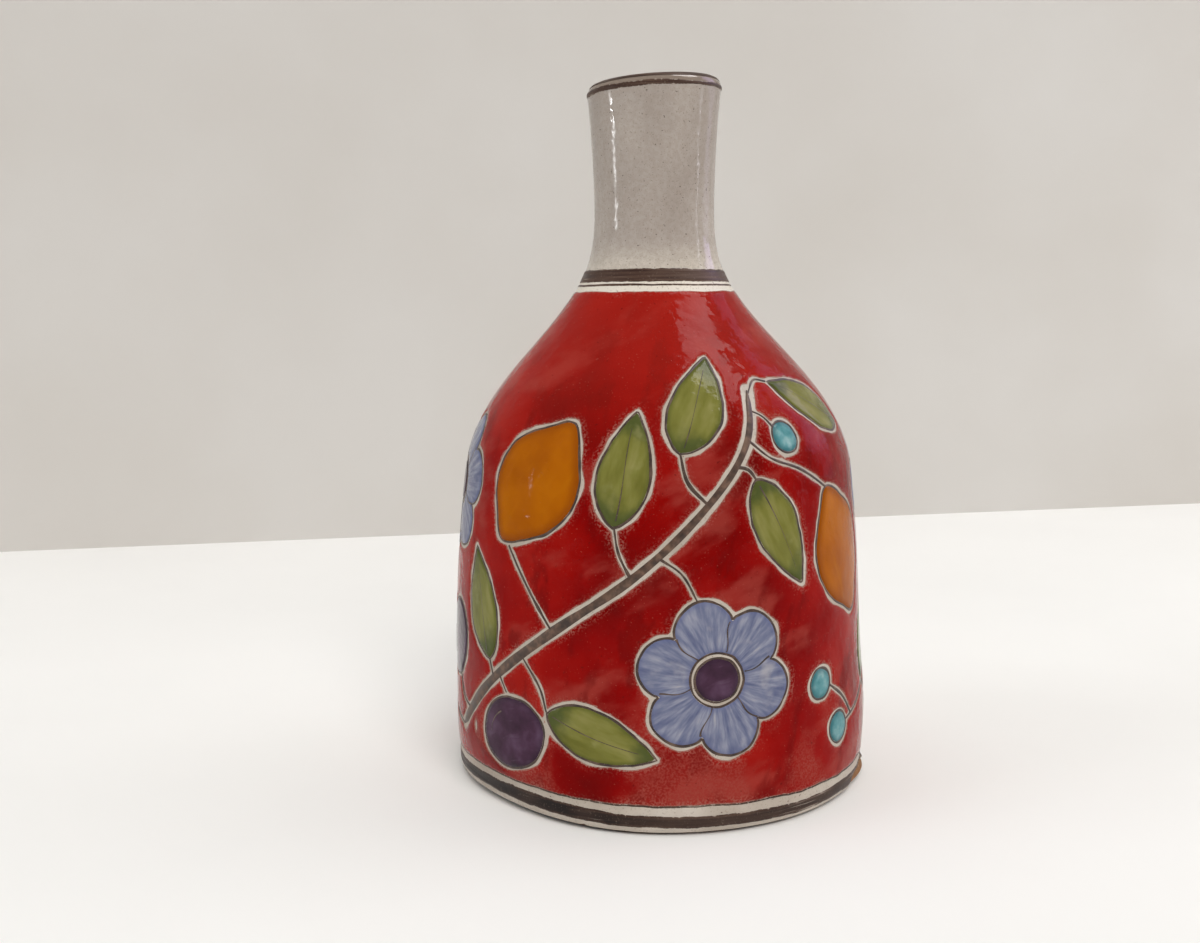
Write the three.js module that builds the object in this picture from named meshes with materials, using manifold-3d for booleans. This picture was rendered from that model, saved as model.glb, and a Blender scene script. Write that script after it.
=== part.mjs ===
// A hand-built earthenware bottle vase. A slab base, a wall, a shoulder and a narrow neck are joined
// into one clay body, which is coated with a pale ground and painted with separate glaze fields.
// Millimetres, +Z up, origin at the centre of the flat underside. Azimuth 0 is the front, at -Y.
import * as THREE from "three";
import { mergeVertices } from "three/addons/utils/BufferGeometryUtils.js";
import Module from "manifold-3d";

const wasm = await Module();
wasm.setup();

// Outline of the vase at the surface of its pale ground.
const HEIGHT = 210; // table to the crest of the lip
const BELLY_RADIUS = 61.5; // the low wall, its widest part
const NECK_RADIUS = 18.1; // waist of the neck
const FOOT_BEVEL = 1.4;
const LIP_ROUND = 2.6; // height of the rounded lip
const BELLY_Z = 0.2 * HEIGHT; // where the wall starts to lean in
const SHOULDER_Z = 0.457 * HEIGHT; // where the wall turns into the shoulder
const CONE_Z = 0.602 * HEIGHT; // steepest place of the shoulder
const NECK_WAIST_Z = 0.819 * HEIGHT;
const LIP_Z = HEIGHT - LIP_ROUND;
const SHOULDER_RADIUS = 0.943 * BELLY_RADIUS;
const CONE_RADIUS = 0.55 * BELLY_RADIUS + 0.45 * NECK_RADIUS;
const LIP_RADIUS = 1.1 * NECK_RADIUS;

// Clay and coats.
const SLAB_THICKNESS = 8;
const WALL = 5.5;
const NECK_WALL = 3.4;
const COAT = 0.6; // ground coat and neck glaze
const SEAT = 0.1; // parting between a coat and what it lies on
const COAT_BUTT = 0.3; // parting between two coats that meet edge to edge
const FIELD = 0.5; // thickness of a coloured glaze field
const PAINT = 0.3; // thickness of a painted band or line
const LIP_WRAP = 6; // how far the neck glaze runs down inside the lip

// Painted bands, from the foot up.
const COAT_FOOT_Z = 0.9; // the clay below this is bare
const LINE_WIDTH = 0.6;
const FOOT_BAND_Z = 2.2;
const FOOT_BAND_WIDTH = 3.2;
const FIELD_LINE_Z = FOOT_BAND_Z + FOOT_BAND_WIDTH + 3.5;
const RED_FOOT_Z = FIELD_LINE_Z + LINE_WIDTH + 0.4;
const RED_TOP_Z = 0.703 * HEIGHT;
const NECK_LINE_Z = RED_TOP_Z + 1.4;
const NECK_BAND_Z = NECK_LINE_Z + LINE_WIDTH + 0.5;
const NECK_BAND_WIDTH = 4.2;
const NECK_FOOT_Z = NECK_BAND_Z + NECK_BAND_WIDTH / 2; // the band hides the neck's joint
const RIM_LINE_Z = LIP_Z - LINE_WIDTH - 0.2;

// Painted design. It is drawn to a module, so that it keeps its place on a wider or a taller vase.
const MODULE = Math.min(HEIGHT / 42, BELLY_RADIUS / 12.3);
const LEMON = { length: 8.2 * MODULE, width: 5.8 * MODULE, nub: 1.0 * MODULE };
const LEAF = { length: 6.6 * MODULE, width: 2.9 * MODULE };
const BLOSSOM = { radius: 4.4 * MODULE, notch: 1.1 * MODULE, eye: 1.24 * MODULE, petals: 6 };
const PLUM = { length: 5.0 * MODULE, width: 4.2 * MODULE };
const BERRY_RADIUS = 0.92 * MODULE;
const BRANCH_WIDTH = 0.6 * MODULE;
const RESERVE = 0.38 * MODULE; // bare ground between a motif and the red field
const EYE_RESERVE = 0.26 * MODULE; // bare ground round a blossom's eye
const REPEATS = 2; // the frieze goes round the vase this many times

// One repeat: azimuth in degrees, distance up the wall as a percentage of the height, and turn.
const FRIEZE = {
  lemon: [
    [-38, 46, 58],
    [59, 35.5, 112],
  ],
  blossom: [
    [13, 21, 15],
    [-83, 44, 40],
  ],
  leaf: [
    [-11, 48.5, 80],
    [11, 57.5, 68],
    [32, 39.5, -64],
    [58, 56.5, 152],
    [-57, 28.5, 106],
    [-17, 13, -18],
    [81, 22.5, 64],
  ],
  plum: [
    [-44, 11.5, 20],
    [-77, 21.5, 60],
  ],
  berry: [
    [38, 52, 0],
    [46, 18, 0],
    [54, 11, 0],
  ],
};
const BRANCH = [
  [-70, 9.5],
  [-52, 18],
  [-30, 26.5],
  [-8, 34.5],
  [10, 43],
  [24, 51.5],
  [30, 59],
];

// Fineness of the round forms.
const SIDES = 32;
const GENTLE_STEPS = 2; // stretches of a slightly curved run
const TURN_STEPS = 4; // stretches of a full turn
const LIP_STEPS = 6;
const PLUG_DEPTH = 1.6 * MODULE; // how far in a cutting plug starts

const MATERIALS = {
  clay: new THREE.MeshStandardMaterial({ color: 0x6b4632, roughness: 0.9, metalness: 0 }),
  ground: new THREE.MeshStandardMaterial({ color: 0xc4b9a9, roughness: 0.55, metalness: 0 }),
  neck: new THREE.MeshStandardMaterial({ color: 0xb5aa9e, roughness: 0.2, metalness: 0 }),
  oxide: new THREE.MeshStandardMaterial({ color: 0x3c2d28, roughness: 0.6, metalness: 0 }),
  red: new THREE.MeshStandardMaterial({ color: 0xa3150f, roughness: 0.15, metalness: 0 }),
  ochre: new THREE.MeshStandardMaterial({ color: 0xc07414, roughness: 0.15, metalness: 0 }),
  leaf: new THREE.MeshStandardMaterial({ color: 0x86883c, roughness: 0.2, metalness: 0 }),
  lavender: new THREE.MeshStandardMaterial({ color: 0x8190bd, roughness: 0.25, metalness: 0 }),
  purple: new THREE.MeshStandardMaterial({ color: 0x523858, roughness: 0.18, metalness: 0 }),
  turquoise: new THREE.MeshStandardMaterial({ color: 0x4fa0a6, roughness: 0.18, metalness: 0 }),
};

// Each point of the outline is (radius, height). The shoulder's straightest part has this slope.
const coneFall = 0.6 * (NECK_WAIST_Z - CONE_Z);
const coneSlope = (CONE_RADIUS - NECK_RADIUS) / coneFall;

// Convex turn from the leaning wall into the shoulder.
function shoulderTurn() {
  const pull = (CONE_Z - SHOULDER_Z) / 3;
  const lean = (2 * (BELLY_RADIUS - SHOULDER_RADIUS)) / (SHOULDER_Z - BELLY_Z);
  return new THREE.CubicBezierCurve(
    new THREE.Vector2(SHOULDER_RADIUS, SHOULDER_Z),
    new THREE.Vector2(SHOULDER_RADIUS - lean * pull, SHOULDER_Z + pull),
    new THREE.Vector2(CONE_RADIUS + coneSlope * pull, CONE_Z - pull),
    new THREE.Vector2(CONE_RADIUS, CONE_Z),
  );
}

// Concave turn from the shoulder up into the neck.
function neckTurn() {
  const pull = 0.62 * coneFall;
  return new THREE.CubicBezierCurve(
    new THREE.Vector2(CONE_RADIUS, CONE_Z),
    new THREE.Vector2(CONE_RADIUS - coneSlope * pull, CONE_Z + pull),
    new THREE.Vector2(NECK_RADIUS, CONE_Z + 0.93 * coneFall),
    new THREE.Vector2(NECK_RADIUS, NECK_WAIST_Z),
  );
}

const profile = [
  new THREE.LineCurve(
    new THREE.Vector2(BELLY_RADIUS - FOOT_BEVEL, 0),
    new THREE.Vector2(BELLY_RADIUS, FOOT_BEVEL),
  ),
  new THREE.LineCurve(
    new THREE.Vector2(BELLY_RADIUS, FOOT_BEVEL),
    new THREE.Vector2(BELLY_RADIUS, BELLY_Z),
  ),
  new THREE.QuadraticBezierCurve(
    new THREE.Vector2(BELLY_RADIUS, BELLY_Z),
    new THREE.Vector2(BELLY_RADIUS, (BELLY_Z + SHOULDER_Z) / 2),
    new THREE.Vector2(SHOULDER_RADIUS, SHOULDER_Z),
  ),
  shoulderTurn(),
  neckTurn(),
  new THREE.QuadraticBezierCurve(
    new THREE.Vector2(NECK_RADIUS, NECK_WAIST_Z),
    new THREE.Vector2(NECK_RADIUS, (NECK_WAIST_Z + LIP_Z) / 2),
    new THREE.Vector2(LIP_RADIUS, LIP_Z),
  ),
];

// Points along the profile, each with its outward normal and its distance from the foot. At a
// corner the normal is lengthened, so that a moved profile stays parallel on both sides of it.
const stations = profileStations();

function profileStations() {
  const found = [];
  for (const curve of profile) {
    let steps = 1;
    if (curve.isQuadraticBezierCurve) steps = GENTLE_STEPS;
    if (curve.isCubicBezierCurve) steps = TURN_STEPS;
    for (let i = 0; i <= steps; i++) {
      const at = curve.getPoint(i / steps);
      const tangent = curve.getTangent(i / steps);
      const normal = new THREE.Vector2(tangent.y, -tangent.x);
      const last = found.at(-1);
      if (last && i === 0) {
        const turn = 1 + last.normal.dot(normal);
        last.normal.add(normal).divideScalar(turn);
        continue;
      }
      found.push({ at, normal, along: last ? last.along + at.distanceTo(last.at) : 0 });
    }
  }
  return found;
}

// The profile moved out by an amount, or in by a negative one, which may change with height.
function run(offset) {
  return stations.map(({ at, normal }) => {
    const amount = typeof offset === "function" ? offset(at.y) : offset;
    return at.clone().addScaledVector(normal, amount);
  });
}

// Radius of a run at a height, carried straight on past its ends.
function radiusAt(points, z) {
  let i = points.findIndex((p) => p.y >= z);
  if (i < 0) i = points.length - 1;
  if (i === 0) i = 1;
  const [a, b] = [points[i - 1], points[i]];
  return a.x + ((b.x - a.x) * (z - a.y)) / (b.y - a.y);
}

// The stretch of a run between two heights, ending exactly at them.
function between(points, low, high) {
  const margin = 1e-3;
  const inside = points.filter((p) => p.y > low + margin && p.y < high - margin);
  return [
    new THREE.Vector2(radiusAt(points, low), low),
    ...inside,
    new THREE.Vector2(radiusAt(points, high), high),
  ];
}

// A solid of revolution about Z from a profile of (radius, height) points.
function turned(points) {
  const closed = points[0].x > 0 ? [...points, points[0]] : points;
  return new THREE.LatheGeometry(closed, SIDES, Math.PI / SIDES).rotateX(Math.PI / 2);
}

// A ring between an outer and an inner run, cut flat at two heights.
function ring(outer, inner, low, high) {
  return turned([...between(outer, low, high), ...between(inner, low, high).reverse()]);
}

// The clay thins smoothly from the shoulder to the neck.
function wallAt(z) {
  const share = THREE.MathUtils.smoothstep(z, SHOULDER_Z, NECK_FOOT_Z);
  return THREE.MathUtils.lerp(WALL, NECK_WALL, share);
}

const coatRun = run(0);
const coatBackRun = run(-COAT);
const clayRun = run(-COAT - SEAT);
const boreRun = run((z) => -COAT - SEAT - wallAt(z));
const boreCoatBackRun = run((z) => -COAT - 2 * SEAT - wallAt(z));
const boreCoatRun = run((z) => -2 * COAT - 2 * SEAT - wallAt(z));
const paintBackRun = run(SEAT);
const paintRun = run(SEAT + PAINT);
const fieldRun = run(SEAT + FIELD);

// Rounded top of a wall: from its outer edge over the crest to its inner edge, without the edges.
function lipArc(outerRadius, innerRadius, crest) {
  const middle = (outerRadius + innerRadius) / 2;
  const half = (outerRadius - innerRadius) / 2;
  const points = [];
  for (let i = 1; i < LIP_STEPS; i++) {
    const turn = (Math.PI * i) / LIP_STEPS;
    const radius = middle + half * Math.cos(turn);
    points.push(new THREE.Vector2(radius, LIP_Z + (crest - LIP_Z) * Math.sin(turn)));
  }
  return points;
}

function baseSlab() {
  const edge = between(clayRun, 0, SLAB_THICKNESS);
  return turned([new THREE.Vector2(0, 0), ...edge, new THREE.Vector2(0, SLAB_THICKNESS)]);
}

function neckTube() {
  const outer = between(clayRun, NECK_FOOT_Z, LIP_Z);
  const inner = between(boreRun, NECK_FOOT_Z, LIP_Z).reverse();
  const lip = lipArc(outer.at(-1).x, inner[0].x, HEIGHT - COAT - SEAT);
  return turned([...outer, ...lip, ...inner]);
}

// Glaze of the neck: up the outside, over the lip and a little way down the bore.
function neckGlaze() {
  const low = NECK_FOOT_Z + COAT_BUTT / 2;
  const wrap = LIP_Z - LIP_WRAP;
  const outer = between(coatRun, low, LIP_Z);
  const outerBack = between(coatBackRun, low, LIP_Z).reverse();
  const bore = between(boreCoatRun, wrap, LIP_Z).reverse();
  const boreBack = between(boreCoatBackRun, wrap, LIP_Z);
  const crest = lipArc(outer.at(-1).x, bore[0].x, HEIGHT);
  const crestBack = lipArc(outerBack[0].x, boreBack.at(-1).x, HEIGHT - COAT).reverse();
  return turned([...outer, ...crest, ...bore, ...boreBack, ...crestBack, ...outerBack]);
}

// Painted line along the crest of the lip.
function crestLine() {
  const outer = radiusAt(coatRun, LIP_Z);
  const inner = radiusAt(boreCoatRun, LIP_Z);
  const middle = (outer + inner) / 2;
  const half = (outer - inner) / 6;
  const low = HEIGHT + SEAT;
  const high = low + PAINT;
  return turned([
    new THREE.Vector2(middle - half, low),
    new THREE.Vector2(middle + half, low),
    new THREE.Vector2(middle + half, high),
    new THREE.Vector2(middle - half, high),
  ]);
}

// A closed geometry as a solid for cutting and joining, and back again.
function toSolid(geometry) {
  const bare = geometry.clone();
  bare.deleteAttribute("normal");
  bare.deleteAttribute("uv");
  const merged = mergeVertices(bare, 1e-4);
  const mesh = new wasm.Mesh({
    numProp: 3,
    vertProperties: merged.attributes.position.array,
    triVerts: new Uint32Array(merged.index.array),
  });
  return new wasm.Manifold(mesh);
}

function toGeometry(solid) {
  const mesh = solid.getMesh();
  const geometry = new THREE.BufferGeometry();
  geometry.setAttribute("position", new THREE.BufferAttribute(mesh.vertProperties, 3));
  geometry.setIndex(new THREE.BufferAttribute(mesh.triVerts, 1));
  geometry.computeVertexNormals();
  return geometry;
}

// Outlines of the motifs, anticlockwise, as (across, up). Each can be grown for its reserve.
function lemonOutline(grow) {
  const steps = 16;
  const half = LEMON.length / 2 - LEMON.nub + grow;
  const points = [];
  for (let i = 0; i < steps; i++) {
    const turn = (2 * Math.PI * i) / steps;
    const across = half * Math.cos(turn) + LEMON.nub * Math.cos(turn) ** 11;
    points.push(new THREE.Vector2(across, (LEMON.width / 2 + grow) * Math.sin(turn)));
  }
  return points;
}

function leafOutline(grow) {
  const steps = 5;
  const length = LEAF.length + 3 * grow; // a point's reserve runs out past it
  const edge = [];
  for (let i = 0; i <= steps; i++) {
    const share = i / steps;
    const bulge = Math.sin(Math.PI * share ** 0.8) ** 0.85;
    edge.push(new THREE.Vector2(length * (share - 0.5), -(LEAF.width / 2 + grow) * bulge));
  }
  const back = edge.slice(1, -1).map((p) => new THREE.Vector2(p.x, -p.y));
  return [...edge, ...back.reverse()];
}

function blossomOutline(grow) {
  const steps = 4 * BLOSSOM.petals;
  const points = [];
  for (let i = 0; i < steps; i++) {
    const turn = (2 * Math.PI * i) / steps;
    const dip = 1 - Math.abs(Math.sin((BLOSSOM.petals * turn) / 2)) ** 0.7;
    const radius = BLOSSOM.radius + grow - BLOSSOM.notch * dip;
    points.push(new THREE.Vector2(radius * Math.cos(turn), radius * Math.sin(turn)));
  }
  return points;
}

function ovalOutline(halfLength, halfWidth) {
  const steps = 12;
  const points = [];
  for (let i = 0; i < steps; i++) {
    const turn = (2 * Math.PI * i) / steps;
    points.push(new THREE.Vector2(halfLength * Math.cos(turn), halfWidth * Math.sin(turn)));
  }
  return points;
}

const OUTLINES = {
  lemon: lemonOutline,
  leaf: leafOutline,
  blossom: blossomOutline,
  eye: (grow) => ovalOutline(BLOSSOM.eye + grow, BLOSSOM.eye + grow),
  plum: (grow) => ovalOutline(PLUM.length / 2 + grow, PLUM.width / 2 + grow),
  berry: (grow) => ovalOutline(BERRY_RADIUS + grow, BERRY_RADIUS + grow),
};

// Radius, height and outward normal of the profile at a distance from the foot.
function stationAt(along) {
  let i = stations.findIndex((s) => s.along >= along);
  if (i < 1) i = i < 0 ? stations.length - 1 : 1;
  const [a, b] = [stations[i - 1], stations[i]];
  const share = (along - a.along) / (b.along - a.along);
  return {
    at: a.at.clone().lerp(b.at, share),
    normal: a.normal.clone().lerp(b.normal, share).normalize(),
  };
}

function arcPerDegree(along) {
  return THREE.MathUtils.degToRad(1) * stationAt(along).at.x;
}

// A profile vector, with its radial and upright parts, swung round to an azimuth.
function swung({ x: radial, y: z }, azimuth) {
  const angle = THREE.MathUtils.degToRad(azimuth);
  return new THREE.Vector3(radial * Math.sin(angle), -radial * Math.cos(angle), z);
}

// A plug that runs straight in through the painted surface, with a motif's outline laid there.
function plug(outline, { azimuth, along, turn }) {
  const { at, normal } = stationAt(along);
  const middle = swung(at, azimuth);
  const out = swung(normal, azimuth);
  const right = new THREE.Vector3(0, 0, 1).cross(out).normalize();
  const rise = out.clone().cross(right);
  const spin = THREE.MathUtils.degToRad(turn);
  const section = outline.map((point) => {
    const { x, y } = point.clone().rotateAround(new THREE.Vector2(), spin);
    const onWall = swung(stationAt(along + y).at, azimuth + x / arcPerDegree(along));
    onWall.sub(middle);
    return new THREE.Vector2(onWall.dot(right), onWall.dot(rise));
  });
  const depth = 3 * PLUG_DEPTH;
  const bar = new THREE.ExtrudeGeometry(new THREE.Shape(section), { depth, bevelEnabled: false });
  const foot = middle.addScaledVector(out, -PLUG_DEPTH);
  const placing = new THREE.Matrix4().makeBasis(right, rise, out).setPosition(foot);
  return toSolid(bar).transform(placing.elements);
}

// A branch's outline as points of azimuth and distance up the wall, round a smooth middle line.
function branchOutline(spin, grow) {
  const steps = 10;
  const path = BRANCH.map(([azimuth, percent]) => {
    return new THREE.Vector2(azimuth + spin, (percent / 100) * HEIGHT);
  });
  const curve = new THREE.SplineCurve(path);
  const half = BRANCH_WIDTH / 2 + grow;
  const right = [];
  const left = [];
  for (let i = 0; i <= steps; i++) {
    const at = curve.getPoint(i / steps);
    const perDegree = arcPerDegree(at.y);
    const way = curve.getTangent(i / steps);
    way.set(way.x * perDegree, way.y).normalize();
    let past = 0;
    if (i === 0) past = -grow;
    if (i === steps) past = grow;
    for (const [edge, side] of [[right, half], [left, -half]]) {
      const across = way.x * past + side * way.y;
      edge.push(new THREE.Vector2(at.x + across / perDegree, at.y + way.y * past - side * way.x));
    }
  }
  return [...right, ...left.reverse()];
}

// A plug with that outline, which runs square to the surface all along it.
function branchPlug(spin, grow) {
  const outline = branchOutline(spin, grow);
  const count = outline.length;
  const corners = [];
  for (const depth of [-PLUG_DEPTH, 2 * PLUG_DEPTH]) {
    for (const { x: azimuth, y: along } of outline) {
      const { at, normal } = stationAt(along);
      corners.push(swung(at, azimuth).addScaledVector(swung(normal, azimuth), depth));
    }
  }
  const faces = [];
  for (const [a, b, c] of THREE.ShapeUtils.triangulateShape(outline, [])) {
    faces.push(c, b, a, a + count, b + count, c + count);
  }
  for (let i = 0; i < count; i++) {
    const next = (i + 1) % count;
    faces.push(i, next, next + count, i, next + count, i + count);
  }
  const bar = new THREE.BufferGeometry().setFromPoints(corners);
  bar.setIndex(faces);
  return toSolid(bar);
}

const vase = new THREE.Group();
vase.name = "bottle_vase";

function group() {
  const made = new THREE.Group();
  vase.add(made);
  return made;
}

function piece(parent, name, geometry, material) {
  const mesh = new THREE.Mesh(geometry, MATERIALS[material]);
  mesh.name = name;
  parent.add(mesh);
}

// Fired clay.
const clay = group();
piece(clay, "base_slab", baseSlab(), "clay");
piece(clay, "body_wall", ring(clayRun, boreRun, SLAB_THICKNESS, SHOULDER_Z), "clay");
piece(clay, "shoulder", ring(clayRun, boreRun, SHOULDER_Z, NECK_FOOT_Z), "clay");
piece(clay, "neck_tube", neckTube(), "clay");

// Coats over the clay.
const coats = group();
const groundTop = NECK_FOOT_Z - COAT_BUTT / 2;
piece(coats, "ground_coat", ring(coatRun, coatBackRun, COAT_FOOT_Z, groundTop), "ground");
piece(coats, "neck_glaze", neckGlaze(), "neck");

// Painted bands and lines.
const bands = group();
function band(name, low, width) {
  piece(bands, name, ring(paintRun, paintBackRun, low, low + width), "oxide");
}
band("foot_band", FOOT_BAND_Z, FOOT_BAND_WIDTH);
band("field_line", FIELD_LINE_Z, LINE_WIDTH);
band("neck_line", NECK_LINE_Z, LINE_WIDTH);
band("neck_band", NECK_BAND_Z, NECK_BAND_WIDTH);
band("rim_line", RIM_LINE_Z, LINE_WIDTH);
piece(bands, "crest_line", crestLine(), "oxide");

// Glaze fields. Each motif fills its own place, and the red field is cut back round all of them.
const painting = group();
const COLOURS = {
  lemon: "ochre",
  leaf: "leaf",
  blossom: "lavender",
  plum: "purple",
  berry: "turquoise",
};
const fieldShell = toSolid(ring(fieldRun, paintBackRun, RED_FOOT_Z, RED_TOP_Z));
let redField = fieldShell;
for (let repeat = 0; repeat < REPEATS; repeat++) {
  const spin = (360 * repeat) / REPEATS;
  for (const [kind, places] of Object.entries(FRIEZE)) {
    places.forEach(([azimuth, percent, turn], i) => {
      const place = { azimuth: azimuth + spin, along: (percent / 100) * HEIGHT, turn };
      const number = repeat * places.length + i + 1;
      redField = redField.subtract(plug(OUTLINES[kind](RESERVE), place));
      let field = fieldShell.intersect(plug(OUTLINES[kind](0), place));
      if (kind === "blossom") {
        field = field.subtract(plug(OUTLINES.eye(EYE_RESERVE), place));
        const eye = fieldShell.intersect(plug(OUTLINES.eye(0), place));
        piece(painting, `eye_glaze_${number}`, toGeometry(eye), "purple");
      }
      piece(painting, `${kind}_glaze_${number}`, toGeometry(field), COLOURS[kind]);
    });
  }
  redField = redField.subtract(branchPlug(spin, RESERVE));
  const branch = fieldShell.intersect(branchPlug(spin, 0));
  piece(painting, `branch_glaze_${repeat + 1}`, toGeometry(branch), "oxide");
}
piece(painting, "red_field", toGeometry(redField), "red");

export default vase;
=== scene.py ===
import math

import bpy
import numpy as np
from mathutils import Matrix, Vector, noise


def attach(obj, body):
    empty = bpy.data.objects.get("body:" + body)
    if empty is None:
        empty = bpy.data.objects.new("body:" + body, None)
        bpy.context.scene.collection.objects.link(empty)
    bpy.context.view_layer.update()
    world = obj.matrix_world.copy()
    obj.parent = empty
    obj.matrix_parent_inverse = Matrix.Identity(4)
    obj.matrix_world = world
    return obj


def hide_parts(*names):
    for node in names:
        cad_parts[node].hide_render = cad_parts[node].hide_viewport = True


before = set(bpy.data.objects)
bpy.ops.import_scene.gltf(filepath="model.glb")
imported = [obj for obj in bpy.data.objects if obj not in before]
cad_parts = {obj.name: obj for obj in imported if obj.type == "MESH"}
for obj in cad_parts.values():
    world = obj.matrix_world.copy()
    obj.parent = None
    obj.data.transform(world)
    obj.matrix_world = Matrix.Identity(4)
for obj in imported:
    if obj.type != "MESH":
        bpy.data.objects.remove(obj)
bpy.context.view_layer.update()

# Clay body
# Coarse red-brown earthenware. A flat slab, a built wall, a shoulder and a narrow neck are luted
# and smoothed into one body before firing. Bare clay shows underneath, at the foot and inside.
MM = 0.001
HEIGHT = 210.0  # millimetres, like every size below: table to the crest of the lip
BELLY_RADIUS = 61.5
NECK_RADIUS = 18.1
FOOT_BEVEL = 1.4
LIP_ROUND = 2.6
BELLY_Z = 0.2 * HEIGHT
SHOULDER_Z = 0.457 * HEIGHT
CONE_Z = 0.602 * HEIGHT
NECK_WAIST_Z = 0.819 * HEIGHT
LIP_Z = HEIGHT - LIP_ROUND
SHOULDER_RADIUS = 0.943 * BELLY_RADIUS
CONE_RADIUS = 0.55 * BELLY_RADIUS + 0.45 * NECK_RADIUS
LIP_RADIUS = 1.1 * NECK_RADIUS
COAT = 0.6  # thickness of the ground coat and of the neck's glaze
SEAT = 0.1  # parting between a coat and the clay
SLAB_THICKNESS = 8.0
WALL = 5.5
NECK_WALL = 3.4
NECK_FOOT_Z = 152.2
FLOOR_ROUND = 4.0  # rounded corner between the bore and the floor
RIB_PITCH = 6.5  # the potter's finger ridges inside
RIB_DEPTH = 0.25
OUT_OF_ROUND = 0.35
LIP_SLANT = 1.1  # the lip was cut by hand and rises to the front right
LIP_SLANT_AZIMUTH = 62.0
# The bottom edge was cut by hand and rubbed: how far it stands off the table, by azimuth.
FOOT_EDGE = (
    (-120, 0.5), (-80, 0.9), (-58, 1.0), (-42, 0.8), (-24, 0.4), (-8, 0.0), (35, 0.0), (58, 0.4), (85, 0.5),
)
FOOT_RUBBED = 0.7  # how far the edge is rubbed back
FOOT_RUBBED_Z = 4.0  # and up to which height
FOOT_BURR = (81, 14, 2.1)  # a lump of clay left at the foot: azimuth, spread in degrees, and height
FOOT_BURR_Z = (1.0, 4.8)  # distances off the table between which it fades out
FOOT_FLAT = (-52, 27, 2.7)  # where the foot is out of round: azimuth, spread in degrees, and depth
FOOT_FLAT_Z = (4.0, 18.0)  # distances off the table between which that fades out
LOW_BULGE = (86, 34, 1.7)  # where the wall swells low down: azimuth, spread in degrees, and height
LOW_BULGE_Z = (25, 15)  # distance of its middle off the table, and its spread upwards
# How the hand-built body departs from a true turned form at some heights: how far its middle drifts
# to the right, and how much its radius swells.
HAND_Z = (0, 12, 28, 60, 95, 115, 130, 143, 152, 158, 166, 185, HEIGHT)
HAND_DRIFT = (0.8, 0.8, 0.5, 0.45, 0.8, 0.7, 0.5, 0.0, -0.4, -0.55, -0.5, -0.45, -0.2)
HAND_SWELL = (1.2, 1.2, 0.7, 0.55, 0.6, 0.3, -0.15, -0.9, -1.6, -1.2, -0.2, 0.2, 0.2)
COLUMNS = 192  # facets round a turned form


def curve_points(controls, steps):
    """Points of a Bezier curve with two, three or four controls, without its last point."""
    share = np.linspace(0, 1, steps, endpoint=False)[:, None]
    points = [np.array(c, float)[None, :] for c in controls]
    while len(points) > 1:
        points = [a + (b - a) * share for a, b in zip(points, points[1:])]
    return points[0] + 0 * share


def wall_profile():
    """Distance up the wall, (radius, height) and outward normal of the vase's outline."""
    cone_fall = 0.6 * (NECK_WAIST_Z - CONE_Z)
    cone_slope = (CONE_RADIUS - NECK_RADIUS) / cone_fall
    lean = 2 * (BELLY_RADIUS - SHOULDER_RADIUS) / (SHOULDER_Z - BELLY_Z)
    third = (CONE_Z - SHOULDER_Z) / 3
    pull = 0.62 * cone_fall
    foot = (BELLY_RADIUS, FOOT_BEVEL)
    belly = (BELLY_RADIUS, BELLY_Z)
    shoulder = (SHOULDER_RADIUS, SHOULDER_Z)
    cone = (CONE_RADIUS, CONE_Z)
    waist = (NECK_RADIUS, NECK_WAIST_Z)
    lip = (LIP_RADIUS, LIP_Z)
    points = np.concatenate([
        curve_points([(BELLY_RADIUS - FOOT_BEVEL, 0), foot], 4),
        curve_points([foot, belly], 40),
        curve_points([belly, (BELLY_RADIUS, (BELLY_Z + SHOULDER_Z) / 2), shoulder], 54),
        curve_points([
            shoulder,
            (SHOULDER_RADIUS - lean * third, SHOULDER_Z + third),
            (CONE_RADIUS + cone_slope * third, CONE_Z - third),
            cone,
        ], 40),
        curve_points([
            cone,
            (CONE_RADIUS - cone_slope * pull, CONE_Z + pull),
            (NECK_RADIUS, CONE_Z + 0.93 * cone_fall),
            waist,
        ], 56),
        curve_points([waist, (NECK_RADIUS, (NECK_WAIST_Z + LIP_Z) / 2), lip], 30),
        [lip, (LIP_RADIUS - 0.09, LIP_Z + 0.7), (LIP_RADIUS - 0.38, LIP_Z + 1.4)],
    ])
    step = np.diff(points, axis=0)
    along = np.concatenate([[0], np.cumsum(np.hypot(step[:, 0], step[:, 1]))])
    slope = np.gradient(points, along, axis=0)
    normal = np.stack([slope[:, 1], -slope[:, 0]], axis=1)
    return along, points, normal / np.linalg.norm(normal, axis=1, keepdims=True)


ALONG, PROFILE, NORMAL = wall_profile()


def along_at(z):
    """Distance up the wall at a height."""
    return np.interp(z, PROFILE[:, 1], ALONG)


def smooth_step(value, low, high):
    """Share of the way from a low level to a high one, eased at both ends."""
    share = np.clip((value - low) / (high - low), 0, 1)
    return share * share * (3 - 2 * share)


DRIFT_Z = np.arange(0, HEIGHT + 10, 0.5)


def eased_by_height(amounts, steps=27):
    """Amounts known at HAND_Z as a run over all heights, eased over this many steps."""
    blur = np.hanning(steps)
    known = np.pad(np.interp(DRIFT_Z, HAND_Z, amounts), steps // 2, mode="edge")
    return np.convolve(known, blur / blur.sum(), mode="valid")


DRIFT = eased_by_height(HAND_DRIFT)
SWELL = eased_by_height(HAND_SWELL)


def swing(azimuth, middle):
    """Degrees round the vase from an azimuth, between -180 and 180."""
    return (azimuth - middle + 180) % 360 - 180


def bell(azimuth, middle, spread, depth):
    """A smooth swelling round one azimuth, this deep there."""
    return depth * np.exp(-((swing(azimuth, middle) / spread) ** 2))


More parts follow.
